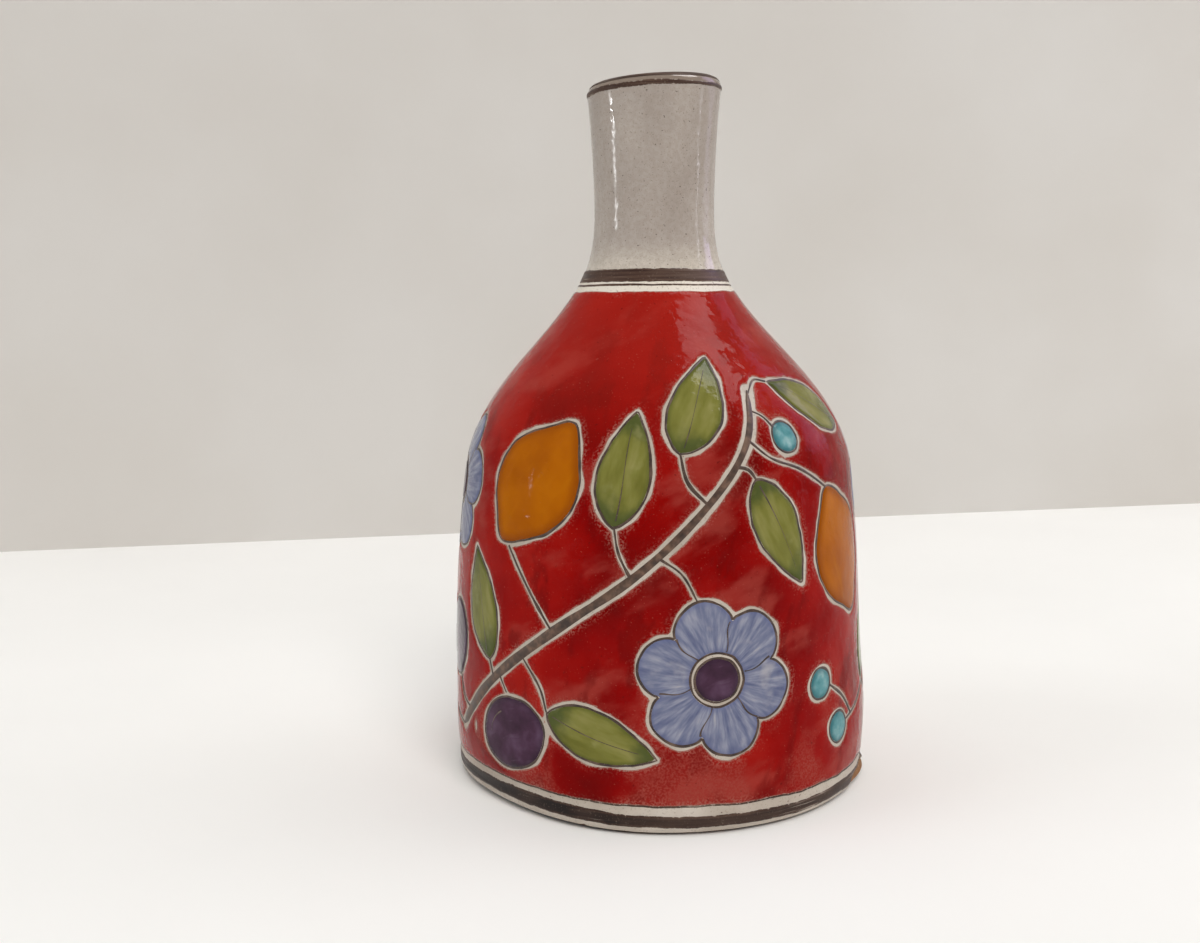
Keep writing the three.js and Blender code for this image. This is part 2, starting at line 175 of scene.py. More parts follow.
def hand_made(azimuth, radius, z):
    """Points in metres at azimuths in degrees, 0 at the front, with the body's slight unevenness."""
    turn = np.radians(azimuth)
    share = np.minimum(radius / BELLY_RADIUS, 1)
    uneven = 0.5 * np.cos(2 * turn + 0.7 + z / 130) + 0.3 * np.cos(3 * turn - 1.1 + z / 60)
    uneven = uneven + 0.15 * np.sin(z / 9 + 2 * np.sin(turn))
    middle_z, spread_z = LOW_BULGE_Z
    bulge = bell(azimuth, *LOW_BULGE) * np.exp(-(((z - middle_z) / spread_z) ** 2))
    flat = bell(azimuth, *FOOT_FLAT) * (1 - smooth_step(z, *FOOT_FLAT_Z))
    burr = bell(azimuth, *FOOT_BURR) * (1 - smooth_step(z, *FOOT_BURR_Z))
    worn = FOOT_RUBBED * np.clip(1 - z / FOOT_RUBBED_Z, 0, 1) ** 2 + flat - burr - bulge
    radius = radius + share * (OUT_OF_ROUND * uneven + np.interp(z, DRIFT_Z, SWELL) - worn)
    cut = LIP_SLANT * (np.cos(turn - math.radians(LIP_SLANT_AZIMUTH)) - 0.5)
    edge = np.interp(azimuth, *zip(*FOOT_EDGE), period=360)
    raised = edge * np.exp(-z / 40) * smooth_step(radius, 0.8 * BELLY_RADIUS, 0.96 * BELLY_RADIUS)
    x = radius * np.sin(turn) + share * np.interp(z, DRIFT_Z, DRIFT)
    z = z + cut * smooth_step(z, NECK_WAIST_Z - 10, LIP_Z) + raised
    return np.stack([x, -radius * np.cos(turn), z], axis=-1) * MM


def on_vase(azimuth, along, lift):
    """Points in metres on the wall, at a distance up it and a lift off it."""
    radius = np.interp(along, ALONG, PROFILE[:, 0]) + lift * np.interp(along, ALONG, NORMAL[:, 0])
    z = np.interp(along, ALONG, PROFILE[:, 1]) + lift * np.interp(along, ALONG, NORMAL[:, 1])
    return hand_made(azimuth, radius, z)


def mesh_piece(name, points, faces, crease=50.0):
    """An object from points in metres, smooth except at edges sharper than the crease."""
    mesh = bpy.data.meshes.new(name)
    mesh.from_pydata(np.asarray(points).tolist(), [], faces)
    mesh.shade_smooth()
    mesh.set_sharp_from_angle(angle=math.radians(crease))
    piece = bpy.data.objects.new(name, mesh)
    bpy.context.scene.collection.objects.link(piece)
    return piece


def ring_faces(rows, columns, closed):
    """Quads between rings of points. The last ring meets the first, or else both are capped."""
    faces = []
    for row in range(rows if closed else rows - 1):
        above = (row + 1) % rows
        for column in range(columns):
            beside = (column + 1) % columns
            faces.append((
                row * columns + column,
                row * columns + beside,
                above * columns + beside,
                above * columns + column,
            ))
    if not closed:
        faces.append(tuple(reversed(range(columns))))
        faces.append(tuple(range((rows - 1) * columns, rows * columns)))
    return faces


def turned(name, section, closed=True):
    """A form turned about the axis from (radius, height) points, outside upwards."""
    azimuth = np.arange(COLUMNS) * 360 / COLUMNS
    points = np.concatenate([hand_made(azimuth, r, z + 0 * azimuth) for r, z in section])
    return mesh_piece(name, points, ring_faces(len(section), COLUMNS, closed))


def moved_profile(offset, low, high):
    """The outline between two heights, moved out by an amount that may change with height."""
    z = PROFILE[:, 1]
    amount = offset(z) if callable(offset) else offset + 0 * z
    points = PROFILE + NORMAL * amount[:, None]
    inside = points[(points[:, 1] > low + 0.05) & (points[:, 1] < high - 0.05)]
    ends = [(np.interp(h, points[:, 1], points[:, 0]), h) for h in (low, high)]
    return [ends[0], *map(tuple, inside), ends[1]]


def wall_at(z):
    """The clay thins smoothly from the shoulder to the neck."""
    return WALL + (NECK_WALL - WALL) * smooth_step(z, SHOULDER_Z, NECK_FOOT_Z)


def bore_face(depth):
    """Offset of the bore from the outline by height, where this much lies on the clay in all."""
    return lambda z: -depth - wall_at(z)


def lip_arc(outer, inner, crest, steps=10):
    """Rounded top of a wall, from its outer edge to its inner edge."""
    turn = np.linspace(0, math.pi, steps + 1)[1:-1]
    radius = (outer + inner) / 2 + (outer - inner) / 2 * np.cos(turn)
    return list(zip(radius, LIP_Z + (crest - LIP_Z) * np.sin(turn)))


def clay_section():
    """(radius, height) points of the clay, from under the foot over the lip to the floor inside."""
    outside = moved_profile(-COAT - SEAT, 0, LIP_Z)
    bore = moved_profile(bore_face(COAT + SEAT), SLAB_THICKNESS + FLOOR_ROUND, LIP_Z)[::-1]
    ribbed = [
        (r + RIB_DEPTH * math.sin(2 * math.pi * z / RIB_PITCH) * (z < NECK_FOOT_Z), z)
        for r, z in bore
    ]
    corner = ribbed[-1][0]
    eased = 0.3 * FLOOR_ROUND
    floor = [(corner - eased, SLAB_THICKNESS + eased), (corner - FLOOR_ROUND, SLAB_THICKNESS)]
    middle = [(corner * share, SLAB_THICKNESS) for share in (0.7, 0.4, 0.1)]
    under = [(outside[0][0] * share, 0) for share in (0.1, 0.5, 0.97)]
    lip = lip_arc(outside[-1][0], bore[0][0], HEIGHT - COAT - SEAT)
    return [*under, *outside, *lip, *ribbed, *floor, *middle]


def shader_tree(name):
    """A new material, its node tree and its shader."""
    material = bpy.data.materials.new(name)
    material.use_nodes = True
    return material, material.node_tree, material.node_tree.nodes["Principled BSDF"]


def clouds(tree, size, detail=3.0, stretch=(1, 1, 1), tilt=(0, 0, 0), source=None, rough=0.5):
    """A noise whose spots are about this many millimetres across."""
    if source is None:
        source = tree.nodes.new("ShaderNodeTexCoord").outputs["Object"]
    turn = tree.nodes.new("ShaderNodeMapping")
    turn.inputs["Rotation"].default_value = [math.radians(t) for t in tilt]
    tree.links.new(source, turn.inputs["Vector"])
    place = tree.nodes.new("ShaderNodeMapping")
    place.inputs["Scale"].default_value = [1 / (s * size * MM) for s in stretch]
    tree.links.new(turn.outputs["Vector"], place.inputs["Vector"])
    texture = tree.nodes.new("ShaderNodeTexNoise")
    texture.inputs["Scale"].default_value = 1.0
    texture.inputs["Detail"].default_value = detail
    texture.inputs["Roughness"].default_value = rough
    tree.links.new(place.outputs["Vector"], texture.inputs["Vector"])
    return texture.outputs[0]


def stretched(tree, value, low, high, new_low=0.0, new_high=1.0):
    """A value clamped between two levels and brought to a new range."""
    levels = tree.nodes.new("ShaderNodeMapRange")
    levels.interpolation_type = "SMOOTHSTEP"
    levels.inputs["From Min"].default_value = low
    levels.inputs["From Max"].default_value = high
    levels.inputs["To Min"].default_value = new_low
    levels.inputs["To Max"].default_value = new_high
    tree.links.new(value, levels.inputs["Value"])
    return levels.outputs["Result"]


def graded(tree, value, *stops):
    """A colour ramp through (place, linear colour) stops."""
    ramp = tree.nodes.new("ShaderNodeValToRGB")
    while len(ramp.color_ramp.elements) < len(stops):
        ramp.color_ramp.elements.new(0.5)
    for element, (place, colour) in zip(ramp.color_ramp.elements, stops):
        element.position = place
        element.color = (*colour, 1)
    tree.links.new(value, ramp.inputs["Fac"])
    return ramp.outputs["Color"]


def laid_over(tree, amount, under, over):
    """One colour over another. Each is a socket, or a linear colour."""
    mix = tree.nodes.new("ShaderNodeMix")
    mix.data_type = "RGBA"
    tree.links.new(amount, mix.inputs[0])
    for colour, socket in ((under, mix.inputs[6]), (over, mix.inputs[7])):
        if isinstance(colour, tuple):
            socket.default_value = (*colour, 1)
        else:
            tree.links.new(colour, socket)
    return mix.outputs[2]


def painted(tree, shader, value, stops, *layers):
    """Base colour: a ramp through stops, with layers of colour over it.

    A layer is a linear colour and a value, which is its strength. With levels after the value, low,
    high and the strengths at them, it is first stretched.
    """
    colour = graded(tree, value, *stops)
    for over, amount, *levels in layers:
        if levels:
            amount = stretched(tree, amount, *levels)
        colour = laid_over(tree, amount, colour, over)
    tree.links.new(colour, shader.inputs["Base Color"])


def roughened(tree, shader, value, *levels):
    """Roughness from a value that is stretched to these levels."""
    tree.links.new(stretched(tree, value, *levels), shader.inputs["Roughness"])


def combined(tree, operation, first, second):
    """Two values through one sum. The second may be a number."""
    sum_node = tree.nodes.new("ShaderNodeMath")
    sum_node.operation = operation
    tree.links.new(first, sum_node.inputs[0])
    if isinstance(second, (int, float)):
        sum_node.inputs[1].default_value = second
    else:
        tree.links.new(second, sum_node.inputs[1])
    return sum_node.outputs[0]


def product(tree, first, second):
    """One value times another, or times a number."""
    return combined(tree, "MULTIPLY", first, second)


def added(tree, first, second, share):
    """One value with a share of another added."""
    return combined(tree, "ADD", first, product(tree, second, share))


def height_of(tree):
    """Height above the table in millimetres, as a socket."""
    parts = tree.nodes.new("ShaderNodeSeparateXYZ")
    tree.links.new(tree.nodes.new("ShaderNodeTexCoord").outputs["Object"], parts.inputs["Vector"])
    return product(tree, parts.outputs["Z"], 1 / MM)


def embossed(tree, shader, *reliefs):
    """Bumps on a shader, each a height socket with its depth in millimetres."""
    normal = None
    for height, depth in reliefs:
        bump = tree.nodes.new("ShaderNodeBump")
        bump.inputs["Strength"].default_value = 1.0
        bump.inputs["Distance"].default_value = depth * MM
        tree.links.new(height, bump.inputs["Height"])
        if normal is not None:
            tree.links.new(normal, bump.inputs["Normal"])
        normal = bump.outputs["Normal"]
    tree.links.new(normal, shader.inputs["Normal"])


def finished(piece, material, slot, *nodes):
    """Gives a piece its material and body, and hides the CAD parts it stands for. slot is not used."""
    piece.data.materials.append(material)
    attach(piece, "root")
    if nodes:
        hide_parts(*nodes)


clay, tree, shader = shader_tree("fired_clay")
grit = clouds(tree, 0.9, detail=4)
painted(
    tree, shader, clouds(tree, 14),
    [(0.3, (0.15, 0.062, 0.016)), (0.55, (0.235, 0.102, 0.027)), (0.75, (0.32, 0.155, 0.052))],
    ((0.46, 0.32, 0.22), grit, 0.58, 0.7, 0, 0.7),  # pale grit
    ((0.045, 0.022, 0.013), height_of(tree), 0.5, 1.5, 0.9, 0),  # darker where it stands on the table: grime, and a painted contact shadow
)
roughened(tree, shader, grit, 0.3, 0.7, 0.75, 0.95)
embossed(tree, shader, (grit, 0.12), (clouds(tree, 6), 0.2))
clay_body = turned("clay_body", clay_section(), closed=False)
finished(clay_body, clay, "bare_clay", "base_slab", "body_wall", "shoulder", "neck_tube")

# Pale ground
# A matte cream slip with fine iron sand in it, poured over the clay up to the neck. It stops just
# above the table on an uneven edge, and it stays bare as the thin margins between the glazes.
GROUND_FOOT_Z = 1.0
GROUND_FOOT_WANDER = 0.3
NECK_SEAM = 0.15  # half the seam between this coat and the neck's glaze
# Chips knocked out of the foot: azimuth, half their width in degrees, and height.
CHIPS = ((74, 13.0, 5.2), (-103, 2.2, 3.0), (163, 2.6, 3.4), (-22, 1.2, 1.6))
BAND_COLUMNS = 480  # facets round a coat
azimuths = np.arange(BAND_COLUMNS) * 360 / BAND_COLUMNS


def wander(azimuth, size, seed):
    """A smooth hand tremor round the vase, about -1 to 1, with waves of this size in degrees."""
    ring = 180 / (math.pi * size)
    turn = np.radians(azimuth)
    return np.array([
        noise.noise(Vector((ring * math.cos(t), ring * math.sin(t), seed * 7.31)))
        + 0.5 * noise.noise(Vector((2.7 * ring * math.cos(t), 2.7 * ring * math.sin(t), seed * 3.17)))
        for t in turn
    ])


def keep_number(piece, name, values):
    """Keeps a number at each point of a mesh, for its material."""
    piece.data.attributes.new(name, "FLOAT", "POINT").data.foreach_set("value", values)


def laid_band(name, low, high, rows, front, back):
    """A coat round the vase between two edges up the wall, given at each of the azimuths.

    front gives the lift of its face for a share of its width, and back is the lift behind it. The
    mesh keeps each point's distance from the nearer edge.
    """
    share = np.linspace(0, 1, rows)
    face = [on_vase(azimuths, low + (high - low) * s, front(s)) for s in share]
    behind = [on_vase(azimuths, low + (high - low) * s, back) for s in share[::-1]]
    piece = mesh_piece(name, np.concatenate(face + behind), ring_faces(2 * rows, BAND_COLUMNS, True))
    from_edge = [np.minimum(s, 1 - s) * (high - low) for s in (*share, *share[::-1])]
    keep_number(piece, "edge", np.concatenate(from_edge))
    return piece


def above_chips(low, azimuth):
    """The lower edge of a coat, raised where a chip took the coat off the clay."""
    for place, half, height in CHIPS:
        across = swing(azimuth, place) / half
        ragged = height * (1 + 0.25 * wander(azimuth, 1.3, place))
        low = np.maximum(low, along_at(ragged * np.sqrt(np.clip(1 - across**2, 0, 1))))
    return low


ground_low = along_at(GROUND_FOOT_Z) + GROUND_FOOT_WANDER * wander(azimuths, 9, 1)
slip_coat = laid_band(
    "slip_coat", above_chips(ground_low, azimuths), along_at(NECK_FOOT_Z - NECK_SEAM) + 0 * azimuths,
    100, lambda s: 0.0, -COAT,
)
slip, tree, shader = shader_tree("pale_slip")
sand = clouds(tree, 0.55, detail=2)
painted(
    tree, shader, clouds(tree, 18, detail=4),
    [(0.3, (0.37, 0.31, 0.25)), (0.5, (0.46, 0.40, 0.335)), (0.7, (0.56, 0.50, 0.43))],
    ((0.74, 0.68, 0.585), height_of(tree), 120, 150, 0, 0.85),  # painted light: paler below the neck, where the shoulder faces up
    ((0.22, 0.155, 0.11), sand, 0.58, 0.72, 0, 0.45),
    ((0.10, 0.062, 0.045), clouds(tree, 1.1, detail=2, rough=0.6), 0.68, 0.76, 0, 0.8),  # iron specks
)
roughened(tree, shader, sand, 0.3, 0.7, 0.38, 0.62)
embossed(tree, shader, (sand, 0.05), (clouds(tree, 5), 0.1))
finished(slip_coat, slip, "pale_ground", "ground_coat")

# Neck glaze
# A clear, slightly grey glaze over the same sandy slip: glossy, with iron specks melted into it. It
# runs from the dark band up the neck, over the rounded lip and a little way down the bore.
LIP_WRAP = 6.0  # how far down the bore
LIP_THIN = (-1.0, 0.6)  # heights from the start of the lip between which the glaze thins


def kept(tree, name, output="Fac"):
    """What the mesh keeps at each point under a name, as a socket."""
    attribute = tree.nodes.new("ShaderNodeAttribute")
    attribute.attribute_name = name
    return attribute.outputs[output]


def neck_section():
    """(radius, height) points of the coat: up its face, over the lip, down the bore and back."""
    low = NECK_FOOT_Z + NECK_SEAM
    outer = moved_profile(0, low, LIP_Z)
    outer_back = moved_profile(-COAT, low, LIP_Z)
    bore = moved_profile(bore_face(2 * COAT + 2 * SEAT), LIP_Z - LIP_WRAP, LIP_Z)[::-1]
    bore_behind = moved_profile(bore_face(COAT + 2 * SEAT), LIP_Z - LIP_WRAP, LIP_Z)
    crest = lip_arc(outer[-1][0], bore[0][0], HEIGHT)
    crest_back = lip_arc(outer_back[-1][0], bore_behind[-1][0], HEIGHT - COAT)[::-1]
    return [*outer, *crest, *bore, *bore_behind, *crest_back, *outer_back[::-1]]


neck_rows = neck_section()
neck_coat = turned("neck_coat", neck_rows)
lip_share = [smooth_step(z, LIP_Z + LIP_THIN[0], LIP_Z + LIP_THIN[1]) for radius, z in neck_rows]
keep_number(neck_coat, "lip", np.repeat(lip_share, COLUMNS))

clear, tree, shader = shader_tree("clear_neck_glaze")
fine_specks = clouds(tree, 0.4, detail=1)
painted(
    tree, shader, clouds(tree, 16, detail=4, stretch=(1, 1, 1.8)),
    [(0.3, (0.33, 0.283, 0.246)), (0.5, (0.378, 0.33, 0.29)), (0.72, (0.44, 0.388, 0.341))],
    ((0.60, 0.54, 0.46), height_of(tree), 153.5, 164, 0.75, 0),  # paler glaze at the foot of the neck, partly painted light where it flares to face up
    ((0.20, 0.15, 0.115), kept(tree, "lip"), 0.2, 0.9, 0, 0.9),  # thin and brown over the lip
    ((0.25, 0.195, 0.155), clouds(tree, 1.5, detail=4, rough=0.65), 0.4, 0.62, 0.22, 0),
    ((0.20, 0.15, 0.115), fine_specks, 0.55, 0.75, 0, 0.35),
    ((0.085, 0.055, 0.04), clouds(tree, 0.8, detail=2, rough=0.6), 0.66, 0.74, 0, 0.8),  # iron specks
)
roughened(tree, shader, clouds(tree, 10, detail=3, stretch=(1, 1, 1.8)), 0.52, 0.6, 0.03, 0.14)
shader.inputs["Specular IOR Level"].default_value = 0.4
embossed(
    tree, shader,
    (clouds(tree, 12, detail=1), 0.42), (clouds(tree, 5, detail=2), 0.19), (fine_specks, 0.006),
)
finished(neck_coat, clear, "neck_glaze", "neck_glaze")

# Painted bands and lines
# Dark brown iron oxide, brushed on while the vase turned on a banding wheel. The two broad bands
# are streaky with soft ragged edges, and the thin lines swell, thin out and break off.
PAINT = 0.3  # thickness of a fully loaded stroke
ON_GROUND = 0.03  # lift of the thinnest paint or glaze
BAND_BACK = 0.01  # lift of the back of a band
BANDS = {  # height of the lower edge, width, tremor of its edges
    "foot_band": (2.5, 3.3, 0.2),
    "field_line": (8.3, 0.6, 0.0),
    "neck_line": (149.3, 0.7, 0.1),
    "neck_band": (150.45, 4.1, 0.12),
    "rim_line": (206.55, 1.35, 0.28),
}
BROAD = 2.0  # a band wider than this is a broad one, and any other is a thin line
# Unevenness of the width, rows of points across it, share of a full load of paint, and the share of
# the width over which each edge thins.
BROAD_STROKE = (0.07, 13, 0.6, 0.12)
THIN_STROKE = (0.35, 7, 0.5, 0.4)
BRUSH_WAVE = 9.0  # length of the tremor along a band
RAGGED = 0.14  # fine unevenness of the edges of the broad bands
NECK_TILT = 0.4  # the rings at the foot of the neck rise to the front
FOOT_SLOPE = 0.5  # the lines at the foot fall from left to right
FOOT_PRESS = (-38, 22, 0.8)  # a wide place of the foot band: azimuth, spread in degrees, extra width
FIELD_WANDER = 0.4  # unevenness of the red field's lower edge, which the thin line follows
SLIVER_WIDTH = 0.05  # what a chip leaves of the foot band
CREST_HALF = 0.9  # half the width of the line on the crest of the lip
# Points across that line: share of the half width, lift off the crest, and distance from an edge.
CREST_ROWS = (
    (2.05, -0.75, 0.35), (1.5, -0.2, 0.9), (0.7, 0.12, 1.0), (-0.4, 0.14, 1.0), (-1, 0.02, 0.6),
    (-1.5, -0.4, 0.2), (0, -0.5, 0.0),
)
BARE_SLIP = (0.42, 0.36, 0.30)

oxide, tree, shader = shader_tree("brushed_oxide")
streaks = clouds(tree, 2.2, detail=5, stretch=(9, 9, 0.28))
patches = clouds(tree, 13, detail=3, stretch=(1.6, 1.6, 0.7))
grain = clouds(tree, 0.5, detail=2)
ragged = clouds(tree, 0.9, detail=3, rough=0.6)
from_edge = kept(tree, "edge")
thick = product(
    tree,
    stretched(tree, added(tree, from_edge, ragged, 1.2), 0.8, 1.6, 0.35, 1),
    stretched(tree, patches, 0.36, 0.6, 1, 0.5),
)
painted(
    tree, shader, added(tree, product(tree, streaks, 0.65), patches, 0.35),
    [
        (0.36, (0.032, 0.015, 0.0105)), (0.5, (0.066, 0.036, 0.025)),
        (0.62, (0.105, 0.064, 0.046)), (0.74, (0.19, 0.13, 0.10)),
    ],
    ((0.008, 0.005, 0.005), product(tree, stretched(tree, height_of(tree), 20, 120, 0.95, 0), thick)),
    ((0.24, 0.18, 0.14), grain, 0.6, 0.75, 0, 0.4),
    (BARE_SLIP, added(tree, from_edge, ragged, 1.3), 0.56, 0.74, 0.85, 0),  # ragged edges
    (BARE_SLIP, streaks, 0.63, 0.72, 0, 0.75),  # dry streaks
)
roughened(tree, shader, streaks, 0.35, 0.7, 0.32, 0.55)
shader.inputs["Specular IOR Level"].default_value = 0.2
embossed(tree, shader, (streaks, 0.06), (grain, 0.03))


def field_edge(azimuth):
    """How far the lower edge of the red field strays up the wall at each azimuth."""
    return FIELD_WANDER * wander(azimuth, 8, 41) - FOOT_SLOPE * np.sin(np.radians(azimuth))


def brush_ridge(thickness, feather):
    """Lift of a brushed line across its width: thin at both edges."""
    return lambda s: ON_GROUND + thickness * min(1, min(s, 1 - s) / feather) ** 0.5


for number, (name, (low_z, width, tremor)) in enumerate(BANDS.items()):
    broad = width > BROAD
    uneven, rows, load, feather = BROAD_STROKE if broad else THIN_STROKE
    wave = math.degrees(BRUSH_WAVE / np.interp(low_z, PROFILE[:, 1], PROFILE[:, 0]))
    low = along_at(low_z) + tremor * wander(azimuths, wave, 10 + number)
    wide = width * (1 + uneven * wander(azimuths, 1.5 * wave, 20 + number))
    if name == "field_line":
        low = low + field_edge(azimuths)
    if name in ("neck_line", "neck_band"):
        low = low + NECK_TILT * np.cos(np.radians(azimuths))
    if name == "foot_band":
        low = low - FOOT_SLOPE * np.sin(np.radians(azimuths))
        wide = wide + bell(azimuths, *FOOT_PRESS)
    high = low + np.maximum(wide, 0.3 * width) + 0.4 * tremor * wander(azimuths, 0.4 * wave, 30 + number)
    if broad:
        low = low + RAGGED * wander(azimuths, 0.2 * wave, 50 + number)
        high = high + RAGGED * wander(azimuths, 0.2 * wave, 60 + number)
    if name == "foot_band":
        low = np.minimum(above_chips(low, azimuths), high - SLIVER_WIDTH)
    band = laid_band(f"{name}_oxide", low, high, rows, brush_ridge(load * PAINT, feather), BAND_BACK)
    finished(band, oxide, "iron_oxide", name)

crest_radius = LIP_RADIUS - (COAT + SEAT + NECK_WALL / 2)
crest_line = turned(
    "crest_line_oxide",
    [(crest_radius + CREST_HALF * across, HEIGHT + lift) for across, lift, edge in CREST_ROWS],
)
keep_number(crest_line, "edge", np.repeat([edge for across, lift, edge in CREST_ROWS], COLUMNS))
finished(crest_line, oxide, "iron_oxide", "crest_line")

# Lemons
# Ochre glaze flooded inside a drawn outline, one pool for each fruit. It is browner along its edge,
# and rounds off there like any melted glaze.
MODULE = 5.0  # the frieze is drawn to this module
REPEATS = 2  # and goes round the vase this many times
PERCENT = HEIGHT / 100
LEMON_LENGTH = 8.2 * MODULE
LEMON_WIDTH = 5.8 * MODULE
LEMON_NUB = 1.0 * MODULE
FIELD = 0.26  # thickness of a pool of glaze
PAD_STEP = 0.6  # fineness of its mesh
SLIVER = 0.03  # no edge comes nearer than this to a corner of the mesh
EDGE_ROUND = 0.8  # how far in a pool's edge is rounded
LINE_ROOM = 0.3  # a pool stops this far inside its drawn outline
POOL_BACK = 0.015  # lift of the back of a pool
BRUSH_APART = 37.0  # sets apart the brush marks of one motif and the next
HAND_TREMOR = 0.4
# Azimuth in degrees, distance up the wall as a percentage of the height, and turn.
LEMONS = [(-38, 46, 58), (59, 35.5, 112)]


def round_the_vase(places):
    """Places of one repeat of the frieze, taken round the vase: azimuth, distance up, turn."""
    return [
        (azimuth + 360 * repeat / REPEATS, up * PERCENT, turn)
        for repeat in range(REPEATS)
        for azimuth, up, turn in places
    ]


def arc_per_degree(along):
    """Millimetres round the vase for one degree, at a distance up the wall."""
    return np.radians(np.interp(along, ALONG, PROFILE[:, 0]))


def to_wall(across, up, place):
    """Azimuth and distance up the wall of points in a motif's own frame."""
    azimuth, along, turn = place
    spin = math.radians(turn)
    sideways = across * math.cos(spin) - up * math.sin(spin)
    rise = across * math.sin(spin) + up * math.cos(spin)
    return azimuth + sideways / arc_per_degree(along), along + rise


def from_wall(azimuth, along, place):
    """The other way: points on the wall in a motif's own frame."""
    centre, centre_along, turn = place
    spin = math.radians(turn)
    sideways = swing(azimuth, centre) * arc_per_degree(centre_along)
    rise = along - centre_along
    return (
        sideways * math.cos(spin) + rise * math.sin(spin),
        rise * math.cos(spin) - sideways * math.sin(spin),
    )


def drawn_by_hand(outline, place):
    """An outline with the tremor of a hand, different at each place."""
    seed = place[0] * 0.37 + place[1] * 0.11
    ahead = np.roll(outline, -1, axis=0) - np.roll(outline, 1, axis=0)
    normal = np.stack([ahead[:, 1], -ahead[:, 0]], axis=1)
    normal /= np.linalg.norm(normal, axis=1, keepdims=True)
    push = np.array([
        noise.noise(Vector((x / 7, y / 7, seed))) + 0.5 * noise.noise(Vector((x / 3, y / 3, seed + 5)))
        for x, y in outline
    ])
    return outline + HAND_TREMOR * push[:, None] * normal


def inside_by(across, up, outline):
    """How far inside a closed outline points lie, in millimetres. It is negative outside."""
    nearest = np.full(across.shape, 1e9)
    inside = np.zeros(across.shape, bool)
    for (x0, y0), (x1, y1) in zip(outline, np.roll(outline, -1, axis=0)):
        dx, dy = x1 - x0, y1 - y0
        share = np.clip(((across - x0) * dx + (up - y0) * dy) / (dx * dx + dy * dy), 0, 1)
        gap = np.hypot(across - x0 - share * dx, up - y0 - share * dy)
        nearest = np.minimum(nearest, gap)
        if dy:
            crossed = ((y0 > up) != (y1 > up)) & (across < x0 + (up - y0) * dx / dy)
            inside ^= crossed
    return np.where(inside, nearest, -nearest)


def filled_cells(inside, wraps=False):
    """The part of a grid of values that is above 0, with cells cut along its edge.

    Gives each vertex's (row, column), its value, and the faces. With wraps the columns go round.
    """
    inside = np.where(np.abs(inside) < SLIVER, np.where(inside > 0, SLIVER, -SLIVER), inside)
    rows, columns = inside.shape
    numbers, spots, values, faces = {}, [], [], []

    def vertex(key, spot, value):
        if key not in numbers:
            numbers[key] = len(spots)
            spots.append(spot)
            values.append(value)
        return numbers[key]

    for row in range(rows - 1):
        for column in range(columns if wraps else columns - 1):
            ring = ((row, column), (row, column + 1), (row + 1, column + 1), (row + 1, column))
            level = [inside[r, c % columns] for r, c in ring]
            if max(level) < 0:
                continue
            face = []
            for corner in range(4):
                (r0, c0), (r1, c1) = ring[corner], ring[(corner + 1) % 4]
                here, there = level[corner], level[(corner + 1) % 4]
                if here > 0:
                    face.append(vertex((r0, c0 % columns), (r0, c0 % columns), here))
                if (here > 0) != (there > 0):
                    share = here / (here - there)
                    key = frozenset(((r0, c0 % columns), (r1, c1 % columns)))
                    face.append(vertex(key, (r0 + share * (r1 - r0), c0 + share * (c1 - c0)), 0.0))
            faces.append(face)
    return np.array(spots, float), np.array(values), faces


def pooled_lift(inside, thickness, swell=0.0):
    """Lift of a pool's face: a rounded edge, then level, or swelling a little to its middle."""
    share = np.clip(inside / EDGE_ROUND, 0, 1)
    return ON_GROUND + thickness * np.sqrt(1 - (1 - share) ** 2) * (1 + swell * np.tanh(inside / 5))


def closed_pool(azimuth, along, values, faces, lift):
    """Points and faces of a pool of glaze with a back, closed at its edge."""
    front = on_vase(azimuth, along, lift)
    inner = np.flatnonzero(values > 0)
    behind = on_vase(azimuth[inner], along[inner], POOL_BACK)
    number = np.arange(len(values))
    number[inner] = len(values) + np.arange(len(inner))
    back = [[int(number[v]) for v in reversed(face)] for face in faces]
    return np.concatenate([front, behind]), [list(f) for f in faces] + back, inner


def merged(shapes):
    """Points and faces of several shapes as those of one mesh."""
    points, faces, count = [], [], 0
    for shape_points, shape_faces in shapes:
        points.append(shape_points)
        faces += [[v + count for v in face] for face in shape_faces]
        count += len(shape_points)
    return np.concatenate(points), faces


def glaze_pools(motif, outline, places, glaze, slot, thickness=FIELD, swell=0.12, hollow=None):
    """One finished piece with a pool of glaze for each copy of a motif round the vase.

    The mesh keeps two things at each point: brush is (across, up, copy) in the motif's own frame,
    and edge is the distance from the pool's edge in millimetres.
    """
    pools, brush, edge = [], [], []
    for number, place in enumerate(round_the_vase(places)):
        drawn = drawn_by_hand(outline, place)
        low, high = drawn.min(0) - 1, drawn.max(0) + 1
        across, up = np.meshgrid(
            np.arange(low[0], high[0], PAD_STEP), np.arange(low[1], high[1], PAD_STEP)
        )
        inside = inside_by(across, up, drawn) - LINE_ROOM
        if hollow is not None:
            opening = inside_by(across, up, drawn_by_hand(hollow, place))
            inside = np.minimum(inside, -opening - LINE_ROOM)
        spots, values, faces = filled_cells(inside)
        x = low[0] + spots[:, 1] * PAD_STEP
        y = low[1] + spots[:, 0] * PAD_STEP
        lift = pooled_lift(values, thickness, swell)
        points, closed, inner = closed_pool(*to_wall(x, y, place), values, faces, lift)
        pools.append((points, closed))
        own = np.stack([x, y, np.full(len(x), BRUSH_APART * number)], axis=1)
        brush += [own, own[inner]]
        edge += [values, values[inner]]
    piece = mesh_piece(f"{motif}_fills", *merged(pools))
    stroke = piece.data.attributes.new("brush", "FLOAT_VECTOR", "POINT")
    stroke.data.foreach_set("vector", np.concatenate(brush).ravel() * MM)
    keep_number(piece, "edge", np.concatenate(edge))
    finished(piece, glaze, slot, *[f"{motif}_glaze_{n + 1}" for n in range(len(pools))])


